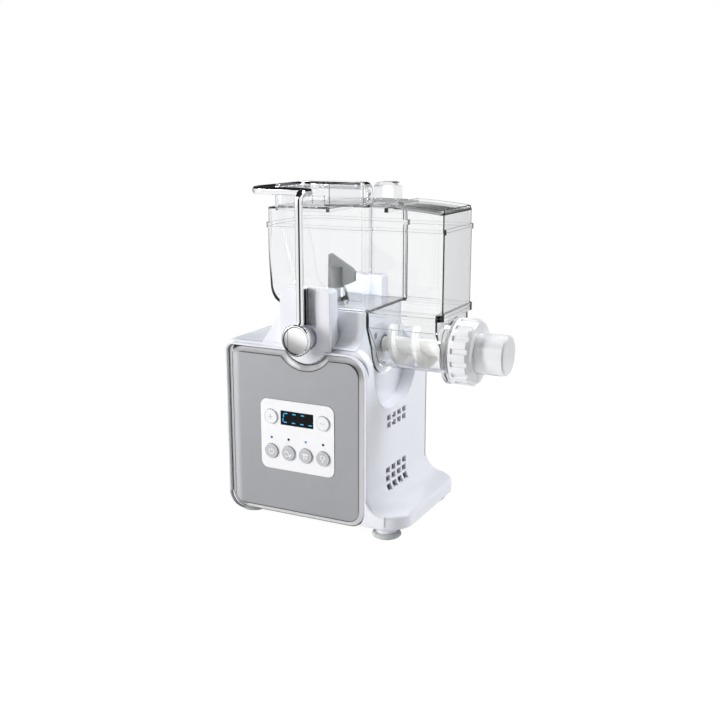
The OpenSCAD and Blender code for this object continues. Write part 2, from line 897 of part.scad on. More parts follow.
module mix_button() {
    color("darkgray") button(1);
}

module extrude_button() {
    color("darkgray") button(2);
}

module program_button() {
    color("darkgray") button(3);
}

module plus_button() {
    color("white") button(4);
}

module minus_button() {
    color("white") button(5);
}

module control_board() {
    color("darkgreen")
    difference() {
        union() {
            along_y(board_y, board_y + board_t)
                round_rect([plate_x() - 7, plate_low - 8],
                    [plate_x() + plate_w + 7, plate_low + plate_h + 8], [2, 2, 2, 2]);
            for (p = button_places())
                rod_y(p[0], p[1], 3, switch_y(), board_y + cut);
            along_y(board_y - 4, board_y + cut)
                translate([plate_mid(), high_button_z()]) square([window_w - 14, window_h - 2], center = true);
        }
        board_corners(board_y - cut)
            rotate([-90, 0, 0]) cylinder(r = screw_r + fit_gap, h = 4);
    }
}

module board_screws() {
    color("silver") {
        board_corners(board_y + board_t)
            rotate([90, 0, 0]) screw(6);
        translate([0, 0, power_z + board_t])
            power_board_corners() rotate([180, 0, 0]) screw(7);
    }
}

power_z = foot_gap + power_rise;
power_x = left_x + 20;
module power_board_corners() {
    for (x = [power_x + 6, power_x + power_l - 6], y = [-power_d / 2 + 6, power_d / 2 - 6])
        translate([x, y, 0]) children();
}

module power_board() {
    color("darkgreen")
    difference() {
        translate([power_x, -power_d / 2, power_z]) cube([power_l, power_d, board_t]);
        translate([0, 0, foot_gap])
            power_board_corners() cylinder(r = screw_r + fit_gap, h = power_rise + 2 * board_t);
    }
}

// Transformer, capacitors, relay and finned heat sink on the power board
module power_parts() {
    fins = 5;
    fin_pitch = 7;
    color("dimgray")
    translate([power_x, 0, power_z + board_t]) {
        translate([14, 14 - power_d / 2, 0]) cube([30, 26, 24]);
        for (i = [0, 1])
            translate([56 + i * 16, 22 - power_d / 2, 0]) cylinder(r = 6.5, h = 25);
        translate([power_l - 28, 6, 0]) cube([16, 20, 15]);
        translate([18, power_d / 2 - 36, 0]) {
            cube([(fins - 1) * fin_pitch + 2.5, 28, 3]);
            for (i = [0 : fins - 1])
                translate([i * fin_pitch, 0, 0]) cube([2.5, 28, 26]);
        }
    }
}

// ---------- towers' fittings and the bail ----------

module guide_strips() {
    color("silver")
    both_sides()
        translate([pivot_x - 2.6 + fit_gap, -tower_out + 0.5, pivot_z + hub_r + rest_gap])
            cube([0.9, channel_d - 0.5 - fit_gap, tower_z - pivot_z - hub_r - 1]);
}

// Switch under the foot of the front tower, against the housing's front wall
module interlock_switch() {
    switch_w = 20;
    switch_h = 14;
    color("black")
    translate([pivot_x - switch_w / 2, -shell_y + wall + rest_gap, panel_top - 2 * wall - rest_gap - switch_h])
        difference() {
            cube([switch_w, 6.5, switch_h]);
            for (x = [4, switch_w - 4])
                translate([x, -cut, 4]) rotate([-90, 0, 0]) cylinder(r = 1.5, h = 10);
        }
}

module pivot_pins() {
    color("silver")
    both_sides() rod_y(pivot_x, pivot_z, pivot_r, -arm_y - rod_r + 0.5, -tower_in + 6);
}

// One side of the bail: arm, inward elbow and bar; bends are quarter rings
module bail_side() {
    elbow = rod_r + 4;
    tight = rod_r + 1.5;
    turn = rod_r + 9;
    translate([pivot_x, -arm_y, pivot_z + hub_r - 2])
        cylinder(r = rod_r, h = bar_z - elbow - pivot_z - hub_r + 2);
    translate([pivot_x, -arm_y + elbow, bar_z - elbow])
        rotate([90, 0, 90]) rotate([0, 0, 90])
            rotate_extrude(angle = 90) translate([elbow, 0]) circle(rod_r);
    rod_y(pivot_x, bar_z, rod_r, -arm_y + elbow, -bar_y - tight);
    translate([pivot_x - tight, -bar_y - tight, bar_z])
        rotate_extrude(angle = 90) translate([tight, 0]) circle(rod_r);
    rod_x(-bar_y, bar_z, rod_r, pivot_x - bar_reach + turn, pivot_x - tight);
    translate([pivot_x - bar_reach + turn, -bar_y + turn, bar_z])
        rotate([0, 0, 180]) rotate_extrude(angle = 90) translate([turn, 0]) circle(rod_r);
}

module bail_handle() {
    turn = rod_r + 9;
    color("gainsboro") {
        both_sides() bail_side();
        rod_y(pivot_x - bar_reach, bar_z, rod_r, -bar_y + turn, bar_y - turn);
    }
}

// Chrome knob with a raised bright ring round its face
module knob() {
    translate([pivot_x, -knob_back, pivot_z])
        rotate([90, 0, 0])
            rotate_extrude()
                polygon([[0, 0], [knob_r - 1.5, 0], [knob_r, 1.5], [knob_r, knob_t - 1], [knob_r - 1, knob_t],
                    [knob_r - 2, knob_t], [knob_r - 3, knob_t - 1], [0, knob_t - 1]]);
}

// Grey hub on the pivot pin, with a socket for the arm
module hub() {
    difference() {
        rod_y(pivot_x, pivot_z, hub_r, -knob_back + fit_gap, -tower_out + 10);
        rod_y(pivot_x, pivot_z, pivot_r + fit_gap, -arm_y - rod_r - rest_gap, -tower_out + 10 + cut);
        translate([pivot_x, -arm_y, pivot_z + hub_r - 2.2])
            cylinder(r = rod_r + fit_gap, h = 10);
    }
}

module front_knob() {
    color("gainsboro") knob();
}

module rear_knob() {
    color("gainsboro") mirror([0, 1, 0]) knob();
}

module front_hub() {
    color("gray") hub();
}

module rear_hub() {
    color("gray") mirror([0, 1, 0]) hub();
}

// ---------- bowl, lid, dough chamber ----------

// Bowl seen from above, set in by t
module bowl_plan(t) {
    hw = wide_d / 2 - t;
    hn = narrow_d / 2 - t;
    round_rect([bowl_l + t, -hw], [step_bowl - t, hw], [14 - t, 5, 5, 14 - t]);
    round_rect([step_bowl - 20, -hn], [bowl_r - t, hn], [0, max(6 - t, 1), max(6 - t, 1), 0]);
}

module bowl_form(t) {
    intersection() {
        translate([0, 0, bowl_low + t])
            linear_extrude(bowl_h) bowl_plan(t);
        along_y(-wide_d, wide_d) {
            round_rect([bowl_l + bowl_lean + t, bowl_low + t],
                [bowl_r - t, rim_z + 20], [bowl_corner - t, 0, 0, 0]);
            polygon([[bowl_l + bowl_lean + t, bowl_low + bowl_corner], [bowl_l + t, rim_z - bowl_rim],
                [bowl_l + t, rim_z + 20], [step_bowl, rim_z + 20], [step_bowl, bowl_low + bowl_corner]]);
        }
        along_x(bowl_l - cut, bowl_r + cut)
            round_rect([-wide_d / 2 + t, bowl_low + t], [wide_d / 2 - t, rim_z + 20], [8 - t, 8 - t, 0, 0]);
    }
}

module mixing_bowl() {
    color("lightcyan", 0.4)
    difference() {
        union() {
            intersection() {
                bowl_form(0);
                translate([left_x, -wide_d, 0]) cube([2 * overall_l, 2 * wide_d, rim_z]);
            }
            // rim, and the flange round the opening to the chamber
            translate([0, 0, rim_z - bowl_rim]) linear_extrude(bowl_rim) bowl_plan(-1.6);
            translate([0, 0, bowl_low])
                linear_extrude(4)
                    round_rect([step_bowl - 2, -narrow_d / 2 - 1.6],
                        [bowl_r + 1.6, narrow_d / 2 + 1.6], [0, 6, 6, 0]);
        }
        difference() {
            bowl_form(clear_t);
            // boss round the mixer shaft
            translate([pivot_x, 0, bowl_low])
                cylinder(r1 = 15, r2 = hub_mix_r + 1.5, h = boss_rise);
            translate([pivot_x + 8, -1.5, bowl_low]) cube([26, 3, 7]);
        }
        translate([pivot_x, 0, bowl_low - cut]) cylinder(r = mixer_shaft_r + rest_gap, h = boss_rise + 2 * cut);
        // opening to the dough chamber
        translate([chamber_l + clear_t + 2, -narrow_d / 2 + clear_t + 1, bowl_low - cut])
            cube([chamber_r - chamber_l - 2 * clear_t - 2, narrow_d - 2 * clear_t - 2, 8]);
    }
}

// Lid seen from the front: straight sides and a slightly crowned top
module lid_profile(t) {
    half = (bowl_r - bowl_l) / 2;
    mid = (bowl_r + bowl_l) / 2;
    crown_r = (half * half + lid_crown * lid_crown) / (2 * lid_crown);
    intersection() {
        round_rect([bowl_l + t, lid_low - (t > 0 ? cut : 0)],
            [bowl_r - t, lid_z + lid_crown + cut], [0, 0, 9, 9]);
        translate([mid, lid_z + lid_crown - crown_r]) circle(crown_r - t, $fn = 720);
    }
}

module lid_form(t) {
    intersection() {
        along_y(-wide_d, wide_d) lid_profile(t);
        translate([0, 0, lid_low - cut]) linear_extrude(lid_h + lid_crown + 2 * cut) bowl_plan(0.6 + t);
    }
}

lid_t = 2.2;
well_l_x = bowl_l + 6;
well_half = wide_d / 2 - 8;
module well_plan(t) {
    round_rect([well_l_x + t, -well_half + t],
        [well_l_x + well_l - t, well_half - t], [10 - t, 6 - t, 6 - t, 10 - t]);
}

module lid() {
    lug_x = step_bowl - 15;
    color("lightcyan", 0.4)
    difference() {
        union() {
            difference() {
                lid_form(0);
                lid_form(lid_t);
            }
            translate([0, 0, lid_low])
                linear_extrude(2.7)
                    difference() {
                        bowl_plan(-1.6);
                        bowl_plan(lid_t + 0.6);
                    }
            // pouring well with a ledge for the grate
            translate([0, 0, lid_z - 3])
                linear_extrude(well_z - lid_z + 3) well_plan(0);
            // raised edge of the sloping end
            intersection() {
                translate([0, 0, lid_z - 1])
                    linear_extrude(lid_crown + 6)
                        difference() {
                            round_rect([lug_x + 27, -narrow_d / 2 + 1],
                                [bowl_r - 1, narrow_d / 2 - 1], [2, 6, 6, 2]);
                            round_rect([lug_x + 30, -narrow_d / 2 + 4],
                                [bowl_r - 4, narrow_d / 2 - 4], [2, 4, 4, 2]);
                        }
                translate([0, 0, 2.4]) along_y(-wide_d, wide_d) lid_profile(0);
            }
            // grip lug, a rounded loop
            along_y(-7, 7) lug_outline(lug_x, 0);
        }
        // through the lug
        along_y(-7 - cut, 7 + cut)
            intersection() {
                lug_outline(lug_x, 3);
                translate([lug_x, lid_z + lid_crown + 2.5]) square([30, 40]);
            }
        translate([0, 0, lid_z - 8]) linear_extrude(well_z) well_plan(lid_t + 2.5);
        translate([0, 0, lid_z]) linear_extrude(well_z) well_plan(lid_t);
        // slots in the well's front wall
        along_y(-well_half - cut, -well_half + lid_t + 2.5 + cut)
            translate([well_l_x + well_l - 17, lid_z + lid_crown - 0.4])
                for (i = [0 : 3])
                    translate([0, i * 2.1]) square([13, 1]);
    }
}

module lug_outline(x, t) {
    round_rect([x + t, lid_z], [x + 25 - t, lid_z + lid_crown + 20 - t], [0, 0, 7 - t, 7 - t]);
}

// Slotted floor of the pouring well
module pour_grate() {
    floor_z = lid_z + 0.1;
    color("lightcyan", 0.4)
    difference() {
        translate([0, 0, floor_z]) linear_extrude(2) well_plan(lid_t + rest_gap);
        for (i = [0 : 4], s = [-1, 1])
            translate([well_l_x + 12 + i * 8, s * 18, floor_z - cut])
                linear_extrude(4) translate([0, -9]) round_rect([0, 0], [3, 18], [1.5, 1.5, 1.5, 1.5]);
    }
}

// Section of the dough chamber: upright walls that narrow into a half round of radius r
module chamber_section(r, t) {
    hn = narrow_d / 2 - t;
    shoulder_z = seat_z - 15;
    top_z = seat_z + (t > 0 ? cut : 0);
    translate([0, axis_h]) circle(r - t);
    polygon([[-r + t, axis_h], [r - t, axis_h], [hn, shoulder_z], [hn, top_z],
        [-hn, top_z], [-hn, shoulder_z]]);
}

module dough_chamber() {
    color("lightcyan", 0.4)
    difference() {
        union() {
            along_x(chamber_l, chamber_r) chamber_section(trough_r, 0);
            // end plate that stands in the cradle
            along_x(chamber_l, chamber_l + clear_t) chamber_section(barrel_r - 1, 0);
            translate([0, 0, seat_z - 3.2])
                linear_extrude(3.2)
                    round_rect([chamber_l, -narrow_d / 2 - 1.6],
                        [bowl_r + 1.6, narrow_d / 2 + 1.6], [2, 6, 6, 2]);
            // stop ring and threaded neck
            rod_x(0, axis_h, barrel_r + 1.6, chamber_r, chamber_r + neck_l);
            rod_x(0, axis_h, neck_r, chamber_r, head_x - nut_front - head_flange_t - 1);
            for (i = [0 : 3])
                rod_x(0, axis_h, neck_r + 0.9, nut_x + 2 + i * 3.2, nut_x + 3.4 + i * 3.2);
            // locating collar that enters the cradle wall's seal
            rod_x(0, axis_h, core_r + 4, chamber_l, chamber_l + clear_t + 3);
        }
        along_x(chamber_l + clear_t, chamber_r - clear_t) chamber_section(trough_r, clear_t);
        rod_x(0, axis_h, trough_r - clear_t, chamber_r - clear_t - cut, chamber_r + clear_t + cut);
        rod_x(0, axis_h, neck_r - clear_t, chamber_r + clear_t, head_x);
        rod_x(0, axis_h, core_r - 1 + rest_gap, chamber_l - cut, chamber_l + 20);
    }
}

// Screw: a helical flight of constant thickness round a core, hex socket at the drive end
module extruder_screw() {
    flight_x = chamber_l + clear_t + 4;
    flight_l = chamber_r - clear_t - rest_gap - flight_x;
    flight_angle = 56;
    turns = flight_l / screw_pitch;
    color("gainsboro")
    difference() {
        union() {
            translate([flight_x, 0, axis_h])
                rotate([90, 0, 90])
                    linear_extrude(flight_l, twist = -360 * turns, slices = round(20 * turns), $fn = 24)
                        union() {
                            circle(core_r);
                            polygon(concat([[0, 0]],
                                [for (a = [0 : 7 : flight_angle]) flight_r * [cos(a), sin(a)]]));
                        }
            rod_x(0, axis_h, core_r - 1, chamber_l - 0.2, flight_x + 2);
            rod_x(0, axis_h, core_r - 0.4, flight_x - 0.5, flight_x + flight_l + 8);
        }
        translate([chamber_l - cut, 0, axis_h])
            rotate([0, 90, 0]) cylinder(r = drive_hex_r + 0.15, h = 14, $fn = 6);
    }
}

drive_hex_r = 5.5;

module mixing_paddle() {
    low = bowl_low + boss_rise + rest_gap;
    color("dimgray")
    difference() {
        union() {
            translate([pivot_x, 0, low]) cylinder(r = hub_mix_r, h = 21);
            along_y(-2, 2)
                translate([pivot_x, low])
                    polygon([[-hub_mix_r - 1, 0], [-hub_mix_r, 33], [-hub_mix_r + 3, 34], [6, 27.5],
                        [blade_reach - 3, 20], [blade_reach, 17], [blade_reach, 7],
                        [blade_reach - 6, 4], [6, 0]]);
        }
        translate([pivot_x, 0, low - cut]) cylinder(r = mixer_shaft_r + 0.02, h = 17);
    }
}

// ---------- ring nut and die head ----------

module ring_nut() {
    color("white")
    difference() {
        union() {
            rod_x(0, axis_h, nut_r - 1.5, nut_x, head_x);
            translate([nut_x, 0, axis_h])
                rotate([0, 90, 0])
                    cylinder(r = nut_r, h = 2.5);
            for (i = [0 : nut_pads - 1])
                translate([nut_x, 0, axis_h])
                    rotate([i * 360 / nut_pads, 0, 0])
                        intersection() {
                            translate([1, -0.29 * 360 * nut_r / nut_pads / 57.3, nut_r - 6])
                                cube([nut_l - 3, 0.58 * 360 * nut_r / nut_pads / 57.3, 6]);
                            rotate([0, 90, 0]) cylinder(r = nut_r, h = nut_l);
                        }
        }
        rod_x(0, axis_h, neck_r + 0.9 + rest_gap, nut_x - cut, head_x - nut_front);
        rod_x(0, axis_h, head_r + rest_gap, nut_x, head_x + cut);
        // chamfer of the front edge
        translate([head_x - 4, 0, axis_h])
            rotate([0, 90, 0])
                difference() {
                    cylinder(r = nut_r + 5, h = 5);
                    translate([0, 0, -cut]) cylinder(r1 = nut_r + cut, r2 = nut_r - 5, h = 5 + 2 * cut);
                }
    }
}

module die_head() {
    flange_x = head_x - nut_front - rest_gap;
    color("white")
    difference() {
        union() {
            rod_x(0, axis_h, head_flange_r, flange_x - head_flange_t, flange_x);
            rod_x(0, axis_h, head_r, flange_x - cut, end_x - 1.5);
            translate([end_x - 1.5, 0, axis_h])
                rotate([0, 90, 0]) cylinder(r1 = head_r, r2 = head_r - 1.5, h = 1.5);
        }
        rod_x(0, axis_h, head_r - head_wall, flange_x - head_flange_t - cut, end_x - head_wall);
        translate([head_x + 1, -die_d / 2, axis_h - head_r - cut]) cube([die_w, die_d, head_r]);
    }
}

// Die plate in the underside of the head, with its spaghetti holes
module die_plate() {
    cols = 8;
    rows = 4;
    color("gainsboro")
    difference() {
        translate([head_x + 1 + fit_gap, -die_d / 2 + fit_gap, axis_h - head_r + 0.6])
            cube([die_w - 2 * fit_gap, die_d - 2 * fit_gap, die_t]);
        for (c = [0 : cols - 1], r = [0 : rows - 1])
            translate([head_x + 1 + (c + 0.5) * die_w / cols, (r - (rows - 1) / 2) * die_d / (rows + 0.3),
                axis_h - head_r])
                cylinder(r = die_hole_r, h = 2 * die_t, $fn = 24);
    }
}

module die_seal() {
    x = head_x - nut_front - head_flange_t - 1 + fit_gap;
    color("lightgray")
    difference() {
        rod_x(0, axis_h, neck_r - 0.4, x, x + 0.6);
        rod_x(0, axis_h, neck_r - clear_t, x - cut, x + 2);
    }
}

// ---------- drive ----------

// Involute of an angle in degrees, as an angle in degrees
function involute(a) = (tan(a) - a * PI / 180) * 180 / PI;

// Half of a tooth's angle at radius r
function tooth_half(n, rp, r) =
    let (rb = rp * cos(20), a = acos(min(1, rb / r)))
    90 / n * (1 - backlash) + involute(20) - involute(a);

function gear_points(m, n, phase = 0) =
    let (rp = m * n / 2, root = rp - 1.25 * m, tip = rp + m, start = max(root + 0.1, rp * cos(20)),
         radii = [root, start, (start + tip) / 2 + 0.1 * m, tip])
    [for (i = [0 : n - 1])
        let (mid = i * 360 / n + phase)
        each concat(
            [for (r = radii) let (a = mid - tooth_half(n, rp, max(r, start))) r * [cos(a), sin(a)]],
            [for (k = [3 : -1 : 0])
                let (r = radii[k], a = mid + tooth_half(n, rp, max(r, start))) r * [cos(a), sin(a)]])];

// Spur gear on an axis along X
module spur(m, n, x, z, w, bore, phase = 0) {
    translate([x, 0, z])
        rotate([90, 0, 90])
            linear_extrude(w)
                difference() {
                    polygon(gear_points(m, n, phase));
                    circle(bore);
                }
}

// Bevel gear with its large end at the origin, shrinking towards +Z and its apex
bevel_face = 4.5;
module bevel(bore, phase) {
    difference() {
        union() {
            linear_extrude(bevel_face, scale = (bevel_pitch_r - bevel_face) / bevel_pitch_r)
                polygon(gear_points(bevel_module, bevel_teeth, phase));
            translate([0, 0, -4]) cylinder(r = bevel_pitch_r - 4, h = 4.5);
        }
        translate([0, 0, -5]) cylinder(r = bore, h = 20);
    }
}

module motor() {
    color("silver")
    difference() {
        union() {
            rod_x(0, motor_z, motor_r, motor_x - motor_l, motor_x - 3);
            rod_x(0, motor_z, motor_r - 6, motor_x - 4, motor_x);
            rod_x(0, motor_z, 12, motor_x - motor_l - 3, motor_x - motor_l + cut);
        }
        rod_x(0, motor_z, shaft_r + running, motor_x - motor_l - 10, motor_x + cut);
        motor_screw_places() rod_x(0, 0, screw_r + fit_gap, motor_x - 10, motor_x + cut);
    }
}

module motor_screw_places() {
    for (a = [45 : 90 : 315])
        translate([0, 19 * cos(a), motor_z + 19 * sin(a)]) children();
}

module motor_shaft() {
    color("gainsboro")
    rod_x(0, motor_z, shaft_r, motor_x - motor_l - 16, cover_l - 0.5);
}

module cooling_fan() {
    x = motor_x - motor_l - 15;
    blade_w = 9;
    color("black")
    difference() {
        union() {
            rod_x(0, motor_z, 8, x, x + blade_w);
            rod_x(0, motor_z, fan_r, x + blade_w, x + blade_w + 1.5);
            for (a = [0 : 40 : 320])
                translate([x, 0, motor_z])
                    rotate([a, 0, 0])
                        translate([0, -0.8, 7]) cube([blade_w + 0.5, 1.6, fan_r - 7]);
        }
        rod_x(0, motor_z, shaft_r + 0.02, x - cut, x + 20);
    }
}

module motor_pinion() {
    color("goldenrod")
    spur(fast_module, fast_small, fast_x, motor_z, fast_w, shaft_r + 0.02, 90 + 180 / fast_small);
}

// Outline of the gearbox, seen along X; t shrinks it to the cavity
module gearbox_outline(t) {
    fast_r = fast_large * fast_module / 2 + fast_module;
    slow_r = slow_large * slow_module / 2 + slow_module;
    translate([0, axis_h]) circle(slow_r + 4 - t);
    translate([0, cluster_z]) circle(fast_r + 4 - t);
    translate([0, motor_z]) circle(26 - t);
    if (t == 0)
        gearbox_ears() circle(4.5);
}

// Ears that take the case's four screws
module gearbox_ears() {
    both_sides_2d() {
        translate([34, axis_h + 16]) children();
        translate([36, cluster_z - 18]) children();
    }
}

module gearbox_mounts() {
    for (a = [30, 150, 270])
        translate([0, 23 * cos(a), axis_h + 23 * sin(a)]) children();
}

bearing_r = output_shaft_r + bush_wall;
module gearbox_case() {
    color("lightgray")
    difference() {
        along_x(case_l, cover_l) gearbox_outline(0);
        along_x(case_r, cover_l + cut) gearbox_outline(3);
        along_x(cover_l - 14, cover_l + cut) gearbox_ears() circle(screw_r + fit_gap);
        rod_x(0, axis_h, bearing_r + fit_gap, case_l - cut, case_r + cut);
        rod_x(0, cluster_z, axle_r + fit_gap, case_l - cut, case_r + cut);
        rod_x(0, motor_z, fast_small * fast_module / 2 + 2, case_l - cut, case_r + cut);
        motor_screw_places() rod_x(0, 0, screw_r + fit_gap, case_l - cut, case_r + cut);
    }
}

module gearbox_cover() {
    color("lightgray")
    difference() {
        along_x(cover_l, cover_r) gearbox_outline(0);
        rod_x(0, axis_h, bearing_r + fit_gap, cover_l - cut, cover_r + cut);
        rod_x(0, cluster_z, axle_r + fit_gap, cover_l - cut, cover_r + cut);
        along_x(cover_l - cut, cover_r + cut) gearbox_ears() circle(screw_r + fit_gap);
        along_x(cover_r - 2.2, cover_r + cut) gearbox_ears() circle(head_screw_r + 0.2);
        gearbox_mounts() rod_x(0, 0, screw_r + fit_gap, cover_l - cut, cover_r + cut);
    }
}

// Four screws through the cover into the case, three from the cradle into the cover
module gearbox_screws() {
    color("silver") {
        along_x(cover_r - 16, cover_r - 1) gearbox_ears() circle(screw_r);
        along_x(cover_r - 2.1, cover_r - 0.1) gearbox_ears() circle(head_screw_r);
        gearbox_mounts() rod_x(0, 0, screw_r, cradle_x - 7, cradle_x - 1);
        gearbox_mounts() rod_x(0, 0, head_screw_r, cradle_x - 2.1, cradle_x - 0.1);
    }
}

module motor_screws() {
    color("silver")
    motor_screw_places()
        rotate([0, -90, 0]) translate([0, 0, -case_r]) screw(11);
}

module cluster_gear() {
    color("goldenrod") {
        spur(fast_module, fast_large, fast_x, cluster_z, fast_w, axle_r + running, 270);
        difference() {
            rod_x(0, cluster_z, 7, slow_x + slow_w - 0.5, fast_x + 0.5);
            rod_x(0, cluster_z, axle_r + running, slow_x, fast_x + cut);
        }
        spur(slow_module, slow_small, slow_x, cluster_z, slow_w, axle_r + running, 90 + 180 / slow_small);
    }
}

module cluster_axle() {
    color("silver")
    rod_x(0, cluster_z, axle_r, case_l + 0.5, cover_r - 0.5);
}

module output_gear() {
    color("goldenrod")
    spur(slow_module, slow_large, slow_x, axis_h, slow_w, output_shaft_r + 0.02, 270);
}

module output_shaft() {
    color("gainsboro") {
        rod_x(0, axis_h, output_shaft_r, pivot_x + bevel_pitch_r - bevel_face - 1, cradle_x);
        translate([cradle_x, 0, axis_h])
            rotate([0, 90, 0]) cylinder(r = drive_hex_r, h = 12, $fn = 6);
    }
}

module drive_bevel() {
    color("goldenrod")
    translate([pivot_x + bevel_pitch_r, 0, axis_h])
        rotate([0, -90, 0])
            bevel(output_shaft_r + 0.02, 0);
}

module mixer_bevel() {
    color("goldenrod")
    translate([pivot_x, 0, axis_h + bevel_pitch_r])
        rotate([180, 0, 0])
            bevel(mixer_shaft_r + 0.02, 180 / bevel_teeth);
}

module mixer_shaft() {
    color("gainsboro")
    translate([pivot_x, 0, axis_h + bevel_pitch_r - bevel_face - 1])
        cylinder(r = mixer_shaft_r,
            h = bowl_low + boss_rise + rest_gap + 15 - axis_h - bevel_pitch_r + bevel_face + 1);
}

module bush_ring(r, h) {
    difference() {
        cylinder(r = r + bush_wall, h = h);
        translate([0, 0, -cut]) cylinder(r = r + running, h = h + 2 * cut);
    }
}

// Sintered bushes of the output shaft and the mixer shaft
module shaft_bushes() {
    color("peru") {
        translate([case_l - 1, 0, axis_h]) rotate([0, 90, 0]) bush_ring(output_shaft_r, plate_t + 2);
        translate([cover_l, 0, axis_h]) rotate([0, 90, 0]) bush_ring(output_shaft_r, plate_t);
        translate([pivot_x, 0, seat_z - 14]) bush_ring(mixer_shaft_r, 14);
    }
}

module shaft_seal() {
    color("black")
    translate([cradle_x - wall, 0, axis_h])
        rotate([0, 90, 0])
            difference() {
                cylinder(r = output_shaft_r + 5 - fit_gap, h = wall);
                translate([0, 0, -cut]) cylinder(r = output_shaft_r + fit_gap, h = 2 * wall);
            }
}

main_housing();
base_plate();
rear_cover();
front_panel();
panel_rim();
control_plate();
display_window();
display_segments();
indicator_lights();
plus_button();
minus_button();
power_button();
mix_button();
extrude_button();
program_button();
control_board();
power_board();
power_parts();
interlock_switch();
cord_gland();
guide_strips();
pivot_pins();
bail_handle();
front_knob();
rear_knob();
front_hub();
rear_hub();
mixing_bowl();
dough_chamber();
lid();
pour_grate();
mixing_paddle();
extruder_screw();
ring_nut();
die_head();
die_plate();
die_seal();
motor();
motor_shaft();
cooling_fan();
motor_pinion();
gearbox_case();
gearbox_cover();
cluster_gear();
cluster_axle();
output_gear();
output_shaft();
drive_bevel();
mixer_bevel();
mixer_shaft();
shaft_bushes();
shaft_seal();
feet();
foot_screws();
base_screws();
cover_screws();
motor_screws();
gearbox_screws();
board_screws();
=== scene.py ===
# %% [markdown]
# An electric pasta maker, dressed for display. The solids come ready made: every wall,
# gear and screw already stands in its place, in metres. This lesson gives each of them
# the finish that the real piece has, adds a few thin pieces such as the printed signs on
# the keys, and builds a bright table-top studio around the machine.

import math

import bmesh
import bpy
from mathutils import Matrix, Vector


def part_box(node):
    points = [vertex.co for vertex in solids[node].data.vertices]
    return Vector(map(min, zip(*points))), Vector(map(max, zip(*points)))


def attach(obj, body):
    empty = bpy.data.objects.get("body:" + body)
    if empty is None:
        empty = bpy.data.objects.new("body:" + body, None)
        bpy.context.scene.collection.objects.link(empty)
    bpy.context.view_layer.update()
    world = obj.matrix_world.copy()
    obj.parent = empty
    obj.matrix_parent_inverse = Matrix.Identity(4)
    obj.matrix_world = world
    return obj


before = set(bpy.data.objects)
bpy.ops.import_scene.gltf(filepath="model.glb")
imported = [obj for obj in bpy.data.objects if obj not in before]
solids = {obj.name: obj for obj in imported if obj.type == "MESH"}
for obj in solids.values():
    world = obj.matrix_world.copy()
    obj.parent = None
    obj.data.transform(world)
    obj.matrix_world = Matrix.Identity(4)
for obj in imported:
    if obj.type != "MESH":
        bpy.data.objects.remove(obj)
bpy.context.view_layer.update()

# %% [markdown]
# A real surface is never one flat colour. Moulding, plating and wear leave a faint
# clouding in the colour, a little change in gloss and a very fine unevenness. One helper
# makes these three layers for every finish: a noise for the colour, one for the gloss and
# one for the height. They use object coordinates, so the grain keeps its size in metres
# on a large cover and on a small key.

# %% Base finish
def lighter(colour, factor):
    return [min(1.0, c * factor) for c in colour] + [1.0]


def new_finish(name):
    material = bpy.data.materials.new(name)
    material.use_nodes = True
    tree = material.node_tree
    return material, tree, tree.nodes["Principled BSDF"]


def place_noise(tree, size, detail=3.0, stretch=(1, 1, 1)):
    """A noise whose spots are about size metres across."""
    where = tree.nodes.new("ShaderNodeTexCoord")
    squeeze = tree.nodes.new("ShaderNodeMapping")
    squeeze.inputs["Scale"].default_value = stretch
    noise = tree.nodes.new("ShaderNodeTexNoise")
    noise.inputs["Scale"].default_value = 1.0 / size
    noise.inputs["Detail"].default_value = detail
    tree.links.new(where.outputs["Object"], squeeze.inputs["Vector"])
    tree.links.new(squeeze.outputs["Vector"], noise.inputs["Vector"])
    return noise


def cloud_colour(tree, shader, colour, spread, size, stretch=(1, 1, 1)):
    noise = place_noise(tree, size, 2.0, stretch)
    ramp = tree.nodes.new("ShaderNodeValToRGB")
    ramp.color_ramp.elements[0].position = 0.3
    ramp.color_ramp.elements[1].position = 0.7
    ramp.color_ramp.elements[0].color = lighter(colour, 1.0 - spread)
    ramp.color_ramp.elements[1].color = lighter(colour, 1.0 + spread)
    tree.links.new(noise.outputs["Fac"], ramp.inputs["Fac"])
    tree.links.new(ramp.outputs["Color"], shader.inputs["Base Color"])
    return ramp


def cloud_gloss(tree, shader, low, high, size, stretch=(1, 1, 1)):
    noise = place_noise(tree, size, 3.0, stretch)
    span = tree.nodes.new("ShaderNodeMapRange")
    span.inputs["From Min"].default_value = 0.3
    span.inputs["From Max"].default_value = 0.7
    span.inputs["To Min"].default_value = low
    span.inputs["To Max"].default_value = high
    tree.links.new(noise.outputs["Fac"], span.inputs["Value"])
    tree.links.new(span.outputs["Result"], shader.inputs["Roughness"])


def fine_grain(tree, shader, size, height, edge=0.0, stretch=(1, 1, 1)):
    """Unevenness of that height in metres, over edges softened to the radius edge."""
    noise = place_noise(tree, size, 2.0, stretch)
    bump = tree.nodes.new("ShaderNodeBump")
    bump.inputs["Strength"].default_value = 1.0
    bump.inputs["Distance"].default_value = height
    tree.links.new(noise.outputs["Fac"], bump.inputs["Height"])
    if edge > 0:
        soft = tree.nodes.new("ShaderNodeBevel")
        soft.samples = 6
        soft.inputs["Radius"].default_value = edge
        tree.links.new(soft.outputs["Normal"], bump.inputs["Normal"])
    tree.links.new(bump.outputs["Normal"], shader.inputs["Normal"])
    return bump


def plain_finish(name, colour, rough, metal=0.0, spread=0.03, size=0.02, grain=0.0004,
                 height=0.000004, edge=0.0, stretch=(1, 1, 1)):
    material, tree, shader = new_finish(name)
    shader.inputs["Metallic"].default_value = metal
    cloud_colour(tree, shader, colour, spread, size, stretch)
    cloud_gloss(tree, shader, rough * 0.85, rough * 1.15, size / 2, stretch)
    fine_grain(tree, shader, grain, height, edge, stretch)
    return material, tree, shader


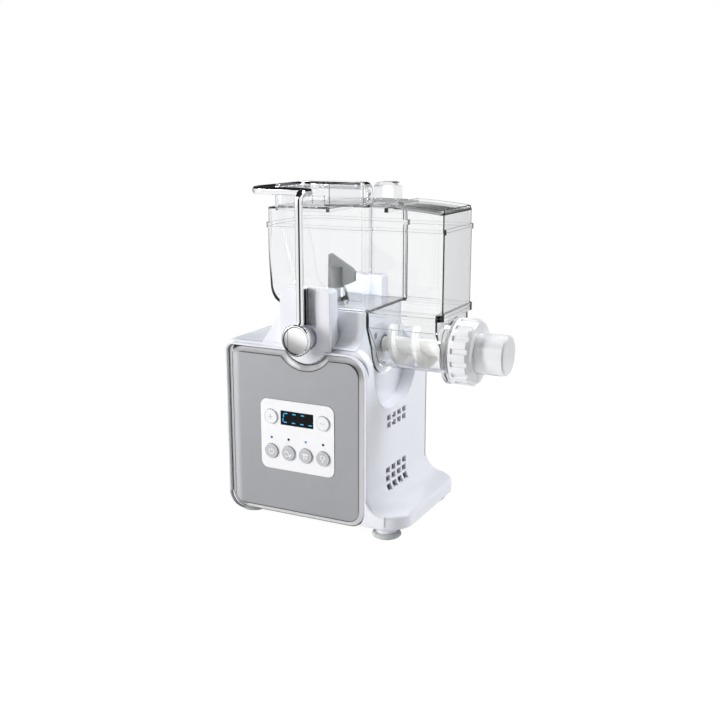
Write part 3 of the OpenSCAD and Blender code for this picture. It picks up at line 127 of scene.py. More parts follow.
def wear(material, *names):
    for name in names:
        solid = solids[name]
        solid.data.materials.clear()
        solid.data.materials.append(material)


print("base finish ready")

# %% [markdown]
# The housing, base, nut and die head are glossy white plastic, injection moulded, with a
# faint cool tone. Moulded edges always carry a small radius, so the shader rounds the
# sharp corners of the solids by about a millimetre. A thin clear coat gives the sharp
# highlight over a softer body.

# %% White mouldings
def white_plastic(name, colour, rough, edge):
    material, _, shader = plain_finish(name, colour, rough, spread=0.012, size=0.05,
                                       grain=0.0012, height=0.000006, edge=edge)
    shader.inputs["Coat Weight"].default_value = 0.35
    shader.inputs["Coat Roughness"].default_value = 0.08
    shader.inputs["IOR"].default_value = 1.5
    return material


HOUSING_COLOUR = (0.885, 0.89, 0.94)
housing_white = white_plastic("housing_white", HOUSING_COLOUR, 0.34, 0.0012)
nozzle_white = white_plastic("nozzle_white", (0.93, 0.932, 0.94), 0.30, 0.0008)
plate_white = white_plastic("plate_white", (0.96, 0.96, 0.965), 0.16, 0.0003)
button_white = white_plastic("button_white", (0.93, 0.93, 0.935), 0.22, 0.0005)
wear(housing_white, "base_plate")
wear(nozzle_white, "ring_nut", "die_head")
wear(plate_white, "control_plate")
wear(button_white, "plus_button", "minus_button")
print("white mouldings done")

# %% [markdown]
# Several finishes depend on where a point lies: left of a bend, deep in a groove, near an
# axis. A material works that out with small sums on the point's coordinates. Three
# helpers keep such sums readable: one gives the point's X, Y and Z, one does a sum, and
# one mixes two colours by a share.

# %% Sums in a material
def feed(tree, value, socket):
    """Sets a number or colour on a socket, or links another node's output to it."""
    if isinstance(value, bpy.types.NodeSocket):
        tree.links.new(value, socket)
    else:
        socket.default_value = value


def coordinates(tree):
    """X, Y and Z of the point, in metres, in the machine's own frame."""
    where = tree.nodes.new("ShaderNodeTexCoord")
    split = tree.nodes.new("ShaderNodeSeparateXYZ")
    tree.links.new(where.outputs["Object"], split.inputs["Vector"])
    return split.outputs["X"], split.outputs["Y"], split.outputs["Z"]


def work_out(tree, operation, first, second=None):
    node = tree.nodes.new("ShaderNodeMath")
    node.operation = operation
    feed(tree, first, node.inputs[0])
    if second is not None:
        feed(tree, second, node.inputs[1])
    return node.outputs["Value"]


def mix_colours(tree, share, first, second, way="MIX"):
    """The first colour where share is 0, the second where it is 1."""
    mix = tree.nodes.new("ShaderNodeMix")
    mix.data_type = "RGBA"
    mix.blend_type = way
    feed(tree, share, mix.inputs["Factor"])
    feed(tree, first, mix.inputs["A"])
    feed(tree, second, mix.inputs["B"])
    return mix.outputs["Result"]


print("sums ready")

# %% [markdown]
# The front panel is a silver lacquered sheet whose left side rolls back, which catches
# the lamp as one bright upright band. The solid is flat there, so the roll is a height
# in metres that grows with the square of the distance past the start of the bend.

# %% Silver panel
def rolled_edge(tree, bump, start, radius):
    """Tilts the surface left of x = start, as a bend of that radius does."""
    x = coordinates(tree)[0]
    past = work_out(tree, "MAXIMUM", work_out(tree, "SUBTRACT", start, x), 0.0)
    depth = work_out(tree, "MULTIPLY", work_out(tree, "POWER", past, 2.0), -0.5 / radius)
    bend = tree.nodes.new("ShaderNodeBump")
    bend.inputs["Strength"].default_value = 1.0
    bend.inputs["Distance"].default_value = 1.0
    tree.links.new(depth, bend.inputs["Height"])
    tree.links.new(bend.outputs["Normal"], bump.inputs["Normal"])


BEND_START, BEND_RADIUS = -0.1255, 0.011
panel_silver, tree, shader = new_finish("panel_silver")
shader.inputs["Metallic"].default_value = 0.35
shader.inputs["Coat Weight"].default_value = 0.6
shader.inputs["Coat Roughness"].default_value = 0.22
cloud_colour(tree, shader, (0.335, 0.342, 0.355), 0.02, 0.02)
cloud_gloss(tree, shader, 0.38, 0.44, 0.004)
grain = fine_grain(tree, shader, 0.0005, 0.000003)
rolled_edge(tree, grain, BEND_START, BEND_RADIUS)
wear(panel_silver, "front_panel")

cover_silver = plain_finish("cover_silver", (0.30, 0.31, 0.33), 0.42, 0.5)[0]
wear(cover_silver, "rear_cover")
print("panel and rear cover done")

# %% [markdown]
# Some colours change across a piece: painted shade as a dark line in a groove, painted light as
# a tone that runs from bright to grey. A ramp of greys over a distance paints these, whatever
# the distance is measured from, and two such ramps are multiplied where they meet.

# %% Ramps of grey
def step_ramp(tree, value, low, high, tones):
    """A grey that follows tones, pairs of place and tone, as value goes from low to high."""
    span = tree.nodes.new("ShaderNodeMapRange")
    span.inputs["From Min"].default_value = low
    span.inputs["From Max"].default_value = high
    ramp = tree.nodes.new("ShaderNodeValToRGB")
    while len(ramp.color_ramp.elements) < len(tones):
        ramp.color_ramp.elements.new(0.5)
    for element, (place, tone) in zip(ramp.color_ramp.elements, tones):
        element.position = place
        element.color = (tone, tone, min(1.0, tone * 1.015), 1)
    tree.links.new(value, span.inputs["Value"])
    tree.links.new(span.outputs["Result"], ramp.inputs["Fac"])
    return ramp.outputs["Color"]


def multiply_colours(tree, first, second):
    return mix_colours(tree, 1.0, first, second, "MULTIPLY")


def distance_from_axis(tree, x, z):
    """Distance of a point from the line along Y through x and z."""
    where = tree.nodes.new("ShaderNodeTexCoord")
    shift = tree.nodes.new("ShaderNodeVectorMath")
    shift.operation = "SUBTRACT"
    shift.inputs[1].default_value = (x, 0.0, z)
    flatten = tree.nodes.new("ShaderNodeVectorMath")
    flatten.operation = "MULTIPLY"
    flatten.inputs[1].default_value = (1.0, 0.0, 1.0)
    length = tree.nodes.new("ShaderNodeVectorMath")
    length.operation = "LENGTH"
    tree.links.new(where.outputs["Object"], shift.inputs[0])
    tree.links.new(shift.outputs["Vector"], flatten.inputs[0])
    tree.links.new(flatten.outputs["Vector"], length.inputs[0])
    return length.outputs["Value"]


print("ramps ready")

# %% [markdown]
# The rim is a satin metal moulding. Its colour is painted light and shade: a painted highlight
# along its crest, darkening to a fine line of painted shade where it dips towards the panel and
# towards the housing. Its outline is a rounded rectangle, and the distance of a point from such
# an outline is a short formula: past the corners' centres it is a circle's, elsewhere a straight
# side's. That distance runs across the moulding all the way round, so one ramp over it paints
# both dark lines of shade. In the notch under the knob the moulding follows a circle, so the
# smaller of the two distances counts.

# %% Rim
def across_outline(tree, low, high, corner):
    """Distance inwards from a rounded rectangle in X and Z, in metres."""
    middle = ((low[0] + high[0]) / 2, 0.0, (low[1] + high[1]) / 2)
    reach = ((high[0] - low[0]) / 2 - corner, 1.0, (high[1] - low[1]) / 2 - corner)
    where = tree.nodes.new("ShaderNodeTexCoord")
    last = where.outputs["Object"]
    for operation, value in (("SUBTRACT", middle), ("MULTIPLY", (1, 0, 1)), ("ABSOLUTE", None),
                             ("SUBTRACT", reach), ("MAXIMUM", (0, 0, 0))):
        node = tree.nodes.new("ShaderNodeVectorMath")
        node.operation = operation
        if value is not None:
            node.inputs[1].default_value = value
        tree.links.new(last, node.inputs[0])
        last = node.outputs["Vector"]
    length = tree.nodes.new("ShaderNodeVectorMath")
    length.operation = "LENGTH"
    tree.links.new(last, length.inputs[0])
    return work_out(tree, "SUBTRACT", corner, length.outputs["Value"])


NOTCH_RADIUS = 0.0280
RIM_WIDTH = 0.0065
OUTLINE_CORNER = 0.019
# Greys across the rim: painted shade at the outline and at the inner edge, a painted highlight
# along the crest.
RIM_SHADE_AND_HIGHLIGHT_TONES = [(0.0, 0.05), (0.10, 0.10), (0.20, 0.62), (0.55, 0.74), (0.84, 0.66),
             (0.94, 0.16), (1.0, 0.10)]
knob_low, knob_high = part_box("front_knob")
knob_x = (knob_low.x + knob_high.x) / 2
knob_z = (knob_low.z + knob_high.z) / 2
knob_radius = (knob_high.x - knob_low.x) / 2
print("knob radius", round(knob_radius, 4))


def rim_with_painted_light():
    material, tree, shader = new_finish("rim_metal")
    shader.inputs["Metallic"].default_value = 0.5
    cloud_gloss(tree, shader, 0.22, 0.26, 0.01)
    fine_grain(tree, shader, 0.002, 0.000001)
    low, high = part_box("panel_rim")
    straight = across_outline(tree, (low.x, low.z), (high.x, high.z), OUTLINE_CORNER)
    round_notch = work_out(tree, "SUBTRACT", distance_from_axis(tree, knob_x, knob_z),
                           NOTCH_RADIUS)
    inwards = work_out(tree, "MINIMUM", straight, round_notch)
    # Painted shade along both edges of the moulding and a painted highlight on its crest.
    colour = step_ramp(tree, inwards, 0.0, RIM_WIDTH, RIM_SHADE_AND_HIGHLIGHT_TONES)
    tree.links.new(colour, shader.inputs["Base Color"])
    return material


rim_metal = rim_with_painted_light()
wear(rim_metal, "panel_rim")
print("rim done")

# %% [markdown]
# The silver rolls round on the left. A broad painted highlight there runs over the rim and fades
# out on the panel, where the bend would catch the light, so the plain colour is mixed with a
# pale one by a ramp on X.

# %% Painted highlight along the rolled edge
# The pale colour of the painted highlight on the rolled edge.
LEFT_EDGE_HIGHLIGHT = (0.74, 0.745, 0.76, 1)


def paint_left_edge_highlight(material, start, end, shares):
    tree = material.node_tree
    base = tree.nodes["Principled BSDF"].inputs["Base Color"]
    plain = base.links[0].from_socket
    share = step_ramp(tree, coordinates(tree)[0], start, end, shares)
    tree.links.new(mix_colours(tree, share, plain, LEFT_EDGE_HIGHLIGHT), base)


# Painted highlight over the rim's left side, then over the panel's left edge.
paint_left_edge_highlight(rim_metal, -0.1390, -0.1325,
                [(0.0, 0.0), (0.08, 0.1), (0.16, 1.0), (0.97, 1.0), (1.0, 0.0)])
paint_left_edge_highlight(panel_silver, -0.1345, -0.1235,
                [(0.0, 0.90), (0.25, 0.72), (0.60, 0.28), (1.0, 0.0)])
print("left edge lit")

# %% [markdown]
# Chrome plating is a mirror: nearly all of its look is the room around it. The knob's disc is
# satin metal inside a polished ring. A dark line painted between the two is painted shade for a
# groove, and a fine dark upright line lies left of the disc's middle. The disc's colour also
# runs from bright at the upper right to grey at the foot, as painted highlight and shade. Disc
# and ring are one solid here, so the distance from the knob's axis decides between them.

# %% Chrome and knobs
chrome = plain_finish("chrome", (0.86, 0.865, 0.875), 0.035, 1.0, spread=0.01,
                      height=0.0000004)[0]
wear(chrome, "bail_handle")

RING_WIDTH, RING_BLEND = 0.003, 0.0002
SLANT = (0.35, 0.0, 0.94)
UPRIGHT_LINE_FROM, UPRIGHT_LINE_TO = 0.0105, 0.0075


def knob_with_painted_light():
    material, tree, shader = new_finish("knob_metal")
    shader.inputs["Metallic"].default_value = 1.0
    away = distance_from_axis(tree, knob_x, knob_z)
    disc = knob_radius - RING_WIDTH
    gloss = tree.nodes.new("ShaderNodeMapRange")
    gloss.inputs["From Min"].default_value = disc - RING_BLEND
    gloss.inputs["From Max"].default_value = disc + RING_BLEND
    gloss.inputs["To Min"].default_value = 0.3
    gloss.inputs["To Max"].default_value = 0.05
    tree.links.new(away, gloss.inputs["Value"])
    tree.links.new(gloss.outputs["Result"], shader.inputs["Roughness"])
    # Painted shade: a dark ring where the disc meets the polished ring.
    groove_shade = step_ramp(tree, away, disc - 0.001, disc + RING_WIDTH,
                       [(0.0, 1.0), (0.2, 1.0), (0.26, 0.12), (0.42, 0.12), (0.48, 1.0),
                        (1.0, 1.0)])
    where = tree.nodes.new("ShaderNodeTexCoord")
    slant = tree.nodes.new("ShaderNodeVectorMath")
    slant.operation = "DOT_PRODUCT"
    slant.inputs[1].default_value = SLANT
    tree.links.new(where.outputs["Object"], slant.inputs[0])
    middle = SLANT[0] * knob_x + SLANT[2] * knob_z
    # Painted highlight and shade: bright at the upper right, grey at the foot.
    tone = step_ramp(tree, slant.outputs["Value"], middle - disc, middle + disc,
                     [(0.0, 0.22), (0.35, 0.38), (0.65, 0.74), (1.0, 0.92)])
    # A fine dark upright line left of the middle.
    upright_line = step_ramp(tree, coordinates(tree)[0], knob_x - UPRIGHT_LINE_FROM, knob_x - UPRIGHT_LINE_TO,
                      [(0.0, 1.0), (0.3, 1.0), (0.42, 0.4), (0.58, 0.4), (0.7, 1.0), (1.0, 1.0)])
    colour = multiply_colours(tree, multiply_colours(tree, groove_shade, tone), upright_line)
    tree.links.new(colour, shader.inputs["Base Color"])
    fine_grain(tree, shader, 0.0004, 0.000002, edge=0.0006)
    return material


wear(knob_with_painted_light(), "front_knob", "rear_knob")
hub_grey = plain_finish("hub_grey", (0.78, 0.795, 0.86), 0.32, 0.1, edge=0.0006)[0]
wear(hub_grey, "front_hub", "rear_hub")
print("chrome, knobs and hubs done")

# %% [markdown]
# The silver of the panel wraps round the housing's left front edge, which is lacquered like the
# panel for the last 6 mm. That strip is painted far lighter than the panel's own silver, as
# painted highlight that carries the bright band of the rolled edge out to the side. The housing
# is one solid, so its white is mixed with silver where both X and Y lie past the edge of that
# lacquered strip.

# %% Lacquered edge of the housing
# Lacquer silver lightened into a painted highlight.
EDGE_SILVER_HIGHLIGHT = (0.80, 0.805, 0.82, 1)
LACQUER_X, LACQUER_Y = -0.1390, -0.0635


def lacquered_housing():
    material = white_plastic("housing_two_tone", HOUSING_COLOUR, 0.34, 0.0012)
    tree = material.node_tree
    base = tree.nodes["Principled BSDF"].inputs["Base Color"]
    white = base.links[0].from_socket
    x, y, _ = coordinates(tree)
    lacquered = work_out(tree, "MULTIPLY", work_out(tree, "LESS_THAN", x, LACQUER_X),
                         work_out(tree, "LESS_THAN", y, LACQUER_Y))
    # Two-tone lacquer strip, lightened as painted highlight.
    tree.links.new(mix_colours(tree, lacquered, white, EDGE_SILVER_HIGHLIGHT), base)
    return material


wear(lacquered_housing(), "main_housing")
print("lacquered edge done")

# %% [markdown]
# A few thin pieces are added to the solids. bmesh holds the points and faces while they
# are made and turns all faces outwards at the end. The swells, the turned edge and the
# channel liners are flat outlines with a thickness, so one helper makes them: it takes
# the outline twice, as two rings of points, joins the rings with a band of faces and
# closes both ends.

# %% Outline with a thickness
def finished_piece(name, shape, material, body):
    """Turns a bmesh shape into a piece of the machine."""
    bmesh.ops.recalc_face_normals(shape, faces=shape.faces)
    mesh = bpy.data.meshes.new(name)
    shape.to_mesh(mesh)
    shape.free()
    mesh.materials.append(material)
    piece = bpy.data.objects.new(name, mesh)
    bpy.context.scene.collection.objects.link(piece)
    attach(piece, body)
    return piece


def joined_rings(name, first, second, material):
    shape = bmesh.new()
    rings = [[shape.verts.new(point) for point in ring] for ring in (first, second)]
    near, far = rings
    for a, b, c, d in zip(near, near[1:] + near[:1], far[1:] + far[:1], far):
        shape.faces.new((a, b, c, d))
    for ring in rings:
        shape.faces.new(ring)
    return finished_piece(name, shape, material, "base")


def at_depth(outline, y):
    """An outline of X and Z pairs, as points at that Y."""
    return [(x, y, z) for x, z in outline]


print("outlines ready")

# %% [markdown]
# Each tower swells into the housing's top in a slightly hollow slope on its left. The
# solid tower is straight there, so the swell is a piece of its own, drawn in the plane of
# the panel and as deep as the tower's foot. It reaches a few millimetres into the
# housing, so that no gap shows where the top curves down.

# %% Swells at the towers' feet
TOWER_HALF = 0.028
FOOT_Z, RISE, REACH = 0.1875, 0.038, 0.024
SINK, OVERLAP, HOLLOW = 0.008, 0.001, 1.15
SWELL_STEPS = 16


def tower_swell(name, near, far):
    left = knob_x - TOWER_HALF
    curve = [(left - REACH * (1 - t) ** HOLLOW, FOOT_Z + RISE * t)
             for t in (i / SWELL_STEPS for i in range(SWELL_STEPS + 1))]
    outline = curve + [(left + OVERLAP, FOOT_Z + RISE), (left + OVERLAP, FOOT_Z - SINK),
                       (left - REACH, FOOT_Z - SINK)]
    return joined_rings(name, at_depth(outline, near), at_depth(outline, far),
                        housing_white)


swells = [tower_swell("front_swell", -0.0635, -0.052),
          tower_swell("rear_swell", 0.052, 0.0635)]
print(len(swells), "swells")

# %% [markdown]
# The lacquered edge turns under the machine at the lower left, outside the rim's round
# corner. The solid edge stops where the housing itself curves in, so the turn is a slim
# strip of its own: it starts inside the solid edge, follows the rim's corner and thins
# out to almost nothing under the machine, as a folded sheet would.

# %% Turn of the lacquered edge
edge_lacquer = plain_finish("edge_lacquer", (0.45, 0.455, 0.47), 0.36, 0.3)[0]
RIM_CORNER = 0.016
GAP, SHEET, THINNED = 0.0004, 0.0019, 0.0011
TURN_START, TURN_STEPS = 0.034, 24


def edge_turn(name, near, far):
    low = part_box("panel_rim")[0]
    centre = (low.x + RIM_CORNER, low.z + RIM_CORNER)
    inner, outer = [], []
    for i in range(TURN_STEPS + 1):
        along = i / TURN_STEPS
        angle = math.radians(180 + 90 * along)
        for line, offset in ((inner, GAP), (outer, SHEET - THINNED * along)):
            line.append((centre[0] + (RIM_CORNER + offset) * math.cos(angle),
                         centre[1] + (RIM_CORNER + offset) * math.sin(angle)))
    start = low.z + TURN_START
    outline = [(low.x - SHEET, start)] + outer + inner[::-1] + [(low.x - GAP, start)]
    return joined_rings(name, at_depth(outline, near), at_depth(outline, far),
                        edge_lacquer)


turn = edge_turn("edge_turn", -0.0694, -0.0655)
print("edge turn", len(turn.data.polygons), "faces")

# %% [markdown]
# Each tower has an upright channel beside the bail's arm. A metal strip lines its left wall, and
# its bright and black upright bands are a painted reflection of the channel's walls and of the
# room. A folded sheet of satin metal lines its back. The sheet is 0.4 mm thick. It is drawn as
# an L in plan, with the short leg bent forward along the right wall, and then raised from the
# channel's floor to just under its top.

# %% Channel strips and liners
strip_low, strip_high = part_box("guide_strips")
STRIP_DEPTH = 0.0125
# Bands of the painted reflection, from the channel's back to its front.
STRIP_REFLECTION_TONES = [(0.0, 0.8), (0.16, 0.8), (0.20, 0.02), (0.30, 0.02), (0.34, 0.6), (0.48, 0.6),
               (0.52, 0.01), (0.82, 0.01), (0.86, 0.9), (1.0, 0.9)]


def strip_painted_reflection():
    material, tree, shader = plain_finish("strip_metal", (0.8, 0.8, 0.8), 0.12, 0.9)
    depth = work_out(tree, "ABSOLUTE", coordinates(tree)[1])
    # Painted reflection: bright and black bands by depth in the channel.
    colour = step_ramp(tree, depth, strip_high.y - STRIP_DEPTH, strip_high.y, STRIP_REFLECTION_TONES)
    tree.links.new(colour, shader.inputs["Base Color"])
    return material


wear(strip_painted_reflection(), "guide_strips")
liner_metal = plain_finish("liner_metal", (0.80, 0.81, 0.84), 0.3, 0.25, height=0.000001)[0]


def channel_liner(name, side):
    """side is -1 for the front tower and 1 for the rear one."""
    thick, fold, width, depth = 0.0004, 0.004, 0.0146, 0.0129
    gap_left, gap_front, gap_top = 0.0001, 0.0005, 0.0006
    x = strip_low.x + gap_left
    back = strip_high.y + gap_front - depth
    right = x + width
    plan = [(x, back), (right, back), (right, back + fold), (right - thick, back + fold),
            (right - thick, back + thick), (x, back + thick)]
    floor, top = [[(px, side * py, z) for px, py in plan]
                  for z in (strip_low.z, strip_high.z - gap_top)]
    return joined_rings(name, floor, top, liner_metal)


liners = [channel_liner("front_liner", -1), channel_liner("rear_liner", 1)]
print("strips and", len(liners), "liners")

# %% [markdown]
# Bowl, lid and dough chamber are clear acrylic, about 2.5 mm thick. They are real walls with an
# inside and an outside, so true refraction draws their edges. Light from the lamps must still
# reach the pieces inside, so shadow rays pass straight through. Light that leaves a wall at a
# flat angle has travelled far through it, which greys the rims and the top of the lid. The layer
# weight, which knows how flat the view is, paints that grey into the colour as painted shade,
# and an absorption in the walls darkens them further where one is seen edge on.

# %% Clear acrylic
# Greys of the painted shade, from a wall seen face on to one seen edge on.
FLAT_PAINTED_SHADE_TONES = [(0.0, 1.0), (0.50, 0.985), (0.58, 0.93), (0.66, 0.60), (0.76, 0.34),
              (0.88, 0.12), (1.0, 0.05)]


def clear_acrylic():
    material, tree, shader = new_finish("clear_acrylic")
    shader.inputs["Transmission Weight"].default_value = 1.0
    shader.inputs["IOR"].default_value = 1.46
    clear = cloud_colour(tree, shader, (0.985, 0.99, 0.99), 0.006, 0.03)
    flat = tree.nodes.new("ShaderNodeLayerWeight")
    flat.inputs["Blend"].default_value = 0.5
    # Painted shade: the colour greys as the view grows flat.
    grey = step_ramp(tree, flat.outputs["Facing"], 0.0, 1.0, FLAT_PAINTED_SHADE_TONES)
    tree.links.new(multiply_colours(tree, clear.outputs["Color"], grey),
                   shader.inputs["Base Color"])
    cloud_gloss(tree, shader, 0.0, 0.03, 0.02)
    passing = tree.nodes.new("ShaderNodeBsdfTransparent")
    passing.inputs["Color"].default_value = (0.94, 0.95, 0.95, 1)
    rays = tree.nodes.new("ShaderNodeLightPath")
    choose = tree.nodes.new("ShaderNodeMixShader")
    dusk = tree.nodes.new("ShaderNodeVolumeAbsorption")
    dusk.inputs["Color"].default_value = (0.55, 0.57, 0.58, 1)
    dusk.inputs["Density"].default_value = 26.0
    end = tree.nodes["Material Output"]
    tree.links.new(rays.outputs["Is Shadow Ray"], choose.inputs[0])
    tree.links.new(shader.outputs["BSDF"], choose.inputs[1])
    tree.links.new(passing.outputs["BSDF"], choose.inputs[2])
    tree.links.new(choose.outputs["Shader"], end.inputs["Surface"])
    tree.links.new(dusk.outputs["Volume"], end.inputs["Volume"])
    return material


wear(clear_acrylic(), "mixing_bowl", "lid", "pour_grate", "dough_chamber")
print("clear parts done")

# %% [markdown]
# The paddle is grey moulded plastic with a soft sheen, the screw and the die off-white,
# and the seals and feet rubber, which is matt and scatters light at its rim. These need
# only the base finish, each with its own grain.

# %% Mixer, screw, die and rubber
paddle_grey = plain_finish("paddle_grey", (0.125, 0.131, 0.131), 0.42, edge=0.0008,
                           grain=0.0006, height=0.000008)[0]
screw_plastic = plain_finish("screw_plastic", (0.80, 0.79, 0.76), 0.30, edge=0.0006)[0]
die_plastic = plain_finish("die_plastic", (0.70, 0.69, 0.66), 0.5, edge=0.0003)[0]
foot_rubber = plain_finish("foot_rubber", (0.60, 0.625, 0.61), 0.75, spread=0.08, size=0.003,
                           height=0.00003, edge=0.0006)[0]
black_rubber = plain_finish("black_rubber", (0.03, 0.03, 0.032), 0.7, spread=0.1,
                            height=0.00002)[0]
grey_seal = plain_finish("grey_seal", (0.42, 0.42, 0.41), 0.6, height=0.00001)[0]
wear(paddle_grey, "mixing_paddle")
wear(screw_plastic, "extruder_screw")
wear(die_plastic, "die_plate")
wear(foot_rubber, "feet")
wear(black_rubber, "cord_gland", "shaft_seal")
wear(grey_seal, "die_seal")
print("mixer, screw, die and rubber done")

# %% [markdown]
# Inside the housing sit the motor, its gears and two circuit boards. Nobody sees them
# with the covers on, yet each gets its own stuff: zinc plated steel, cream acetal, brass,
# sintered bronze and green solder mask.

# %% Works inside
wear(plain_finish("motor_zinc", (0.42, 0.43, 0.45), 0.36, 0.8, spread=0.06)[0], "motor")
wear(plain_finish("gear_acetal", (0.80, 0.76, 0.64), 0.45, spread=0.03)[0],
     "cluster_gear", "output_gear", "drive_bevel", "mixer_bevel")
wear(plain_finish("pinion_brass", (0.78, 0.58, 0.28), 0.28, 1.0, spread=0.05)[0], "motor_pinion")
wear(plain_finish("gearcase_cast", (0.55, 0.56, 0.57), 0.48, 0.8, spread=0.08, size=0.004,
                  height=0.00003)[0], "gearbox_case", "gearbox_cover")
wear(plain_finish("bush_bronze", (0.62, 0.42, 0.24), 0.42, 1.0, spread=0.08, size=0.002)[0],
     "shaft_bushes")
wear(plain_finish("steel_turned", (0.62, 0.625, 0.63), 0.25, 1.0, spread=0.03,
                  stretch=(1, 8, 8))[0],
     "pivot_pins", "output_shaft", "mixer_shaft", "motor_shaft", "cluster_axle", "foot_screws",
     "base_screws", "cover_screws", "motor_screws", "gearbox_screws", "board_screws")
wear(plain_finish("board_green", (0.02, 0.16, 0.06), 0.3, spread=0.2, size=0.003)[0],
     "control_board", "power_board")
wear(plain_finish("black_plastic", (0.035, 0.035, 0.04), 0.4, spread=0.1)[0],
     "cooling_fan", "interlock_switch", "power_parts")
print("works inside done")

# %% [markdown]
# The four lower keys are pearl grey, with the soft edge of a moulded cap. The display is
# black glass with little reflection, and its segments glow light blue.

# %% Keys and display
button_grey = plain_finish("button_pearl", (0.56, 0.56, 0.58), 0.32, 0.25, edge=0.0012)[0]
wear(button_grey, "power_button", "mix_button", "extrude_button", "program_button")
black_glass, _, shader = plain_finish("black_glass", (0.004, 0.004, 0.006), 0.09, spread=0.1)
shader.inputs["Specular IOR Level"].default_value = 0.12
wear(black_glass, "display_window")


def glowing(name, colour, strength):
    material, _, shader = plain_finish(name, colour, 0.25, spread=0.02)
    shader.inputs["Emission Color"].default_value = list(colour) + [1]
    shader.inputs["Emission Strength"].default_value = strength
    return material


wear(glowing("segment_blue", (0.03, 0.36, 0.66), 0.5), "display_segments")
print("keys and display done")

# %% [markdown]
# Two of the four lamps above the keys are lit, and the others stay dark. The lamps are
# one solid with one material, so a ramp over X with sharp steps halfway between the lamps
# gives each its own colour.

# %% Lamps on the plate
LAMP_RADIUS = 0.00125


def lamp_centres():
    low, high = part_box("indicator_lights")
    first, last = low.x + LAMP_RADIUS, high.x - LAMP_RADIUS
    return [first + (last - first) * i / 3 for i in range(4)]


def lamp_row():
    material, tree, shader = plain_finish("lamp_row", (0.1, 0.1, 0.1), 0.2)
    span = tree.nodes.new("ShaderNodeMapRange")
    ramp = tree.nodes.new("ShaderNodeValToRGB")
    centres = lamp_centres()
    half = (centres[1] - centres[0]) / 2
    span.inputs["From Min"].default_value = centres[0] - half
    span.inputs["From Max"].default_value = centres[3] + half
    ramp.color_ramp.interpolation = "CONSTANT"
    colours = [(0.10, 0.07, 0.40), (0.003, 0.003, 0.003), (0.045, 0.22, 0.42),
               (0.003, 0.003, 0.004)]
    ramp.color_ramp.elements[1].position = 0.25
    for k in (0.5, 0.75):
        ramp.color_ramp.elements.new(k)
    for element, colour in zip(ramp.color_ramp.elements, colours):
        element.color = list(colour) + [1]
    tree.links.new(coordinates(tree)[0], span.inputs["Value"])
    tree.links.new(span.outputs["Result"], ramp.inputs["Fac"])
    tree.links.new(ramp.outputs["Color"], shader.inputs["Base Color"])
    tree.links.new(ramp.outputs["Color"], shader.inputs["Emission Color"])
    shader.inputs["Emission Strength"].default_value = 0.35
    return material


wear(lamp_row(), "indicator_lights")
print("lamps at", [round(x, 4) for x in lamp_centres()])

# %% [markdown]
# The signs on the keys are printed in white or grey ink. Ink has almost no height, yet it
# needs a body of its own to be seen from any side, so each sign is a plate that stands
# 0.15 mm proud of its key and sinks a little into it. Every sign is drawn as flat
# outlines in the key's own plane: strokes with a width, arcs as many short strokes, then
# all of it is given its thickness.

# %% Strokes
INK_PROUD, INK_SUNK = 0.00015, 0.00005


def stroke(points, width):
    """Left and right outline of a line through points, as rows of 2D pairs."""
    left, right = [], []
    for i, point in enumerate(points):
        before = points[max(i - 1, 0)]
        after = points[min(i + 1, len(points) - 1)]
        along = Vector((after[0] - before[0], after[1] - before[1])).normalized()
        side = Vector((-along.y, along.x)) * width / 2
        left.append((point[0] + side.x, point[1] + side.y))
        right.append((point[0] - side.x, point[1] - side.y))
    return left, right


def arc(centre, radius, start, end, steps=24):
    angles = [math.radians(start + (end - start) * i / steps) for i in range(steps + 1)]
    return [(centre[0] + radius * math.cos(a), centre[1] + radius * math.sin(a)) for a in angles]


def printed_sign(name, key, strokes, ink, body):
    """Lays strokes, in metres about the key's middle, on the key's front face."""
    low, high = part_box(key)
    middle_x, middle_z = (low.x + high.x) / 2, (low.z + high.z) / 2
    shape = bmesh.new()
    for points, width in strokes:
        left, right = stroke(points, width)
        rows = []
        for y in (low.y - INK_PROUD, low.y + INK_SUNK):
            rows.append([[shape.verts.new((middle_x + p[0], y, middle_z + p[1])) for p in side]
                         for side in (left, right)])
        (fl, fr), (bl, br) = rows
        last = len(points) - 1
        for i in range(last):
            shape.faces.new((fl[i], fr[i], fr[i + 1], fl[i + 1]))
            shape.faces.new((bl[i], bl[i + 1], br[i + 1], br[i]))
            shape.faces.new((fl[i], fl[i + 1], bl[i + 1], bl[i]))
            shape.faces.new((fr[i], br[i], br[i + 1], fr[i + 1]))
        shape.faces.new((fl[0], bl[0], br[0], fr[0]))
        shape.faces.new((fl[last], fr[last], br[last], bl[last]))
    return finished_piece(name, shape, ink, body)


print("a quarter arc has", len(arc((0, 0), 1, 0, 90)), "points")

# %% [markdown]
# Plus and minus are pale grey on white keys. On the grey keys the ink is white: a ring
# with a bar for power, two curved blades for mixing, strands under a bar for pressing the
# pasta out, and a loop on a stem for the automatic programme.

# %% Signs on the keys
grey_ink = plain_finish("grey_ink", (0.62, 0.63, 0.65), 0.5, spread=0.04)[0]
white_ink = plain_finish("white_ink", (0.93, 0.93, 0.95), 0.45, spread=0.02)[0]
mm = 0.001


def line(x0, z0, x1, z1, width):
    """One straight stroke, in millimetres."""
    return [(x0 * mm, z0 * mm), (x1 * mm, z1 * mm)], width * mm


def bow(x, z, radius, start, end, width, steps=24):
    """One round stroke, in millimetres and degrees."""
    return arc((x * mm, z * mm), radius * mm, start, end, steps), width * mm


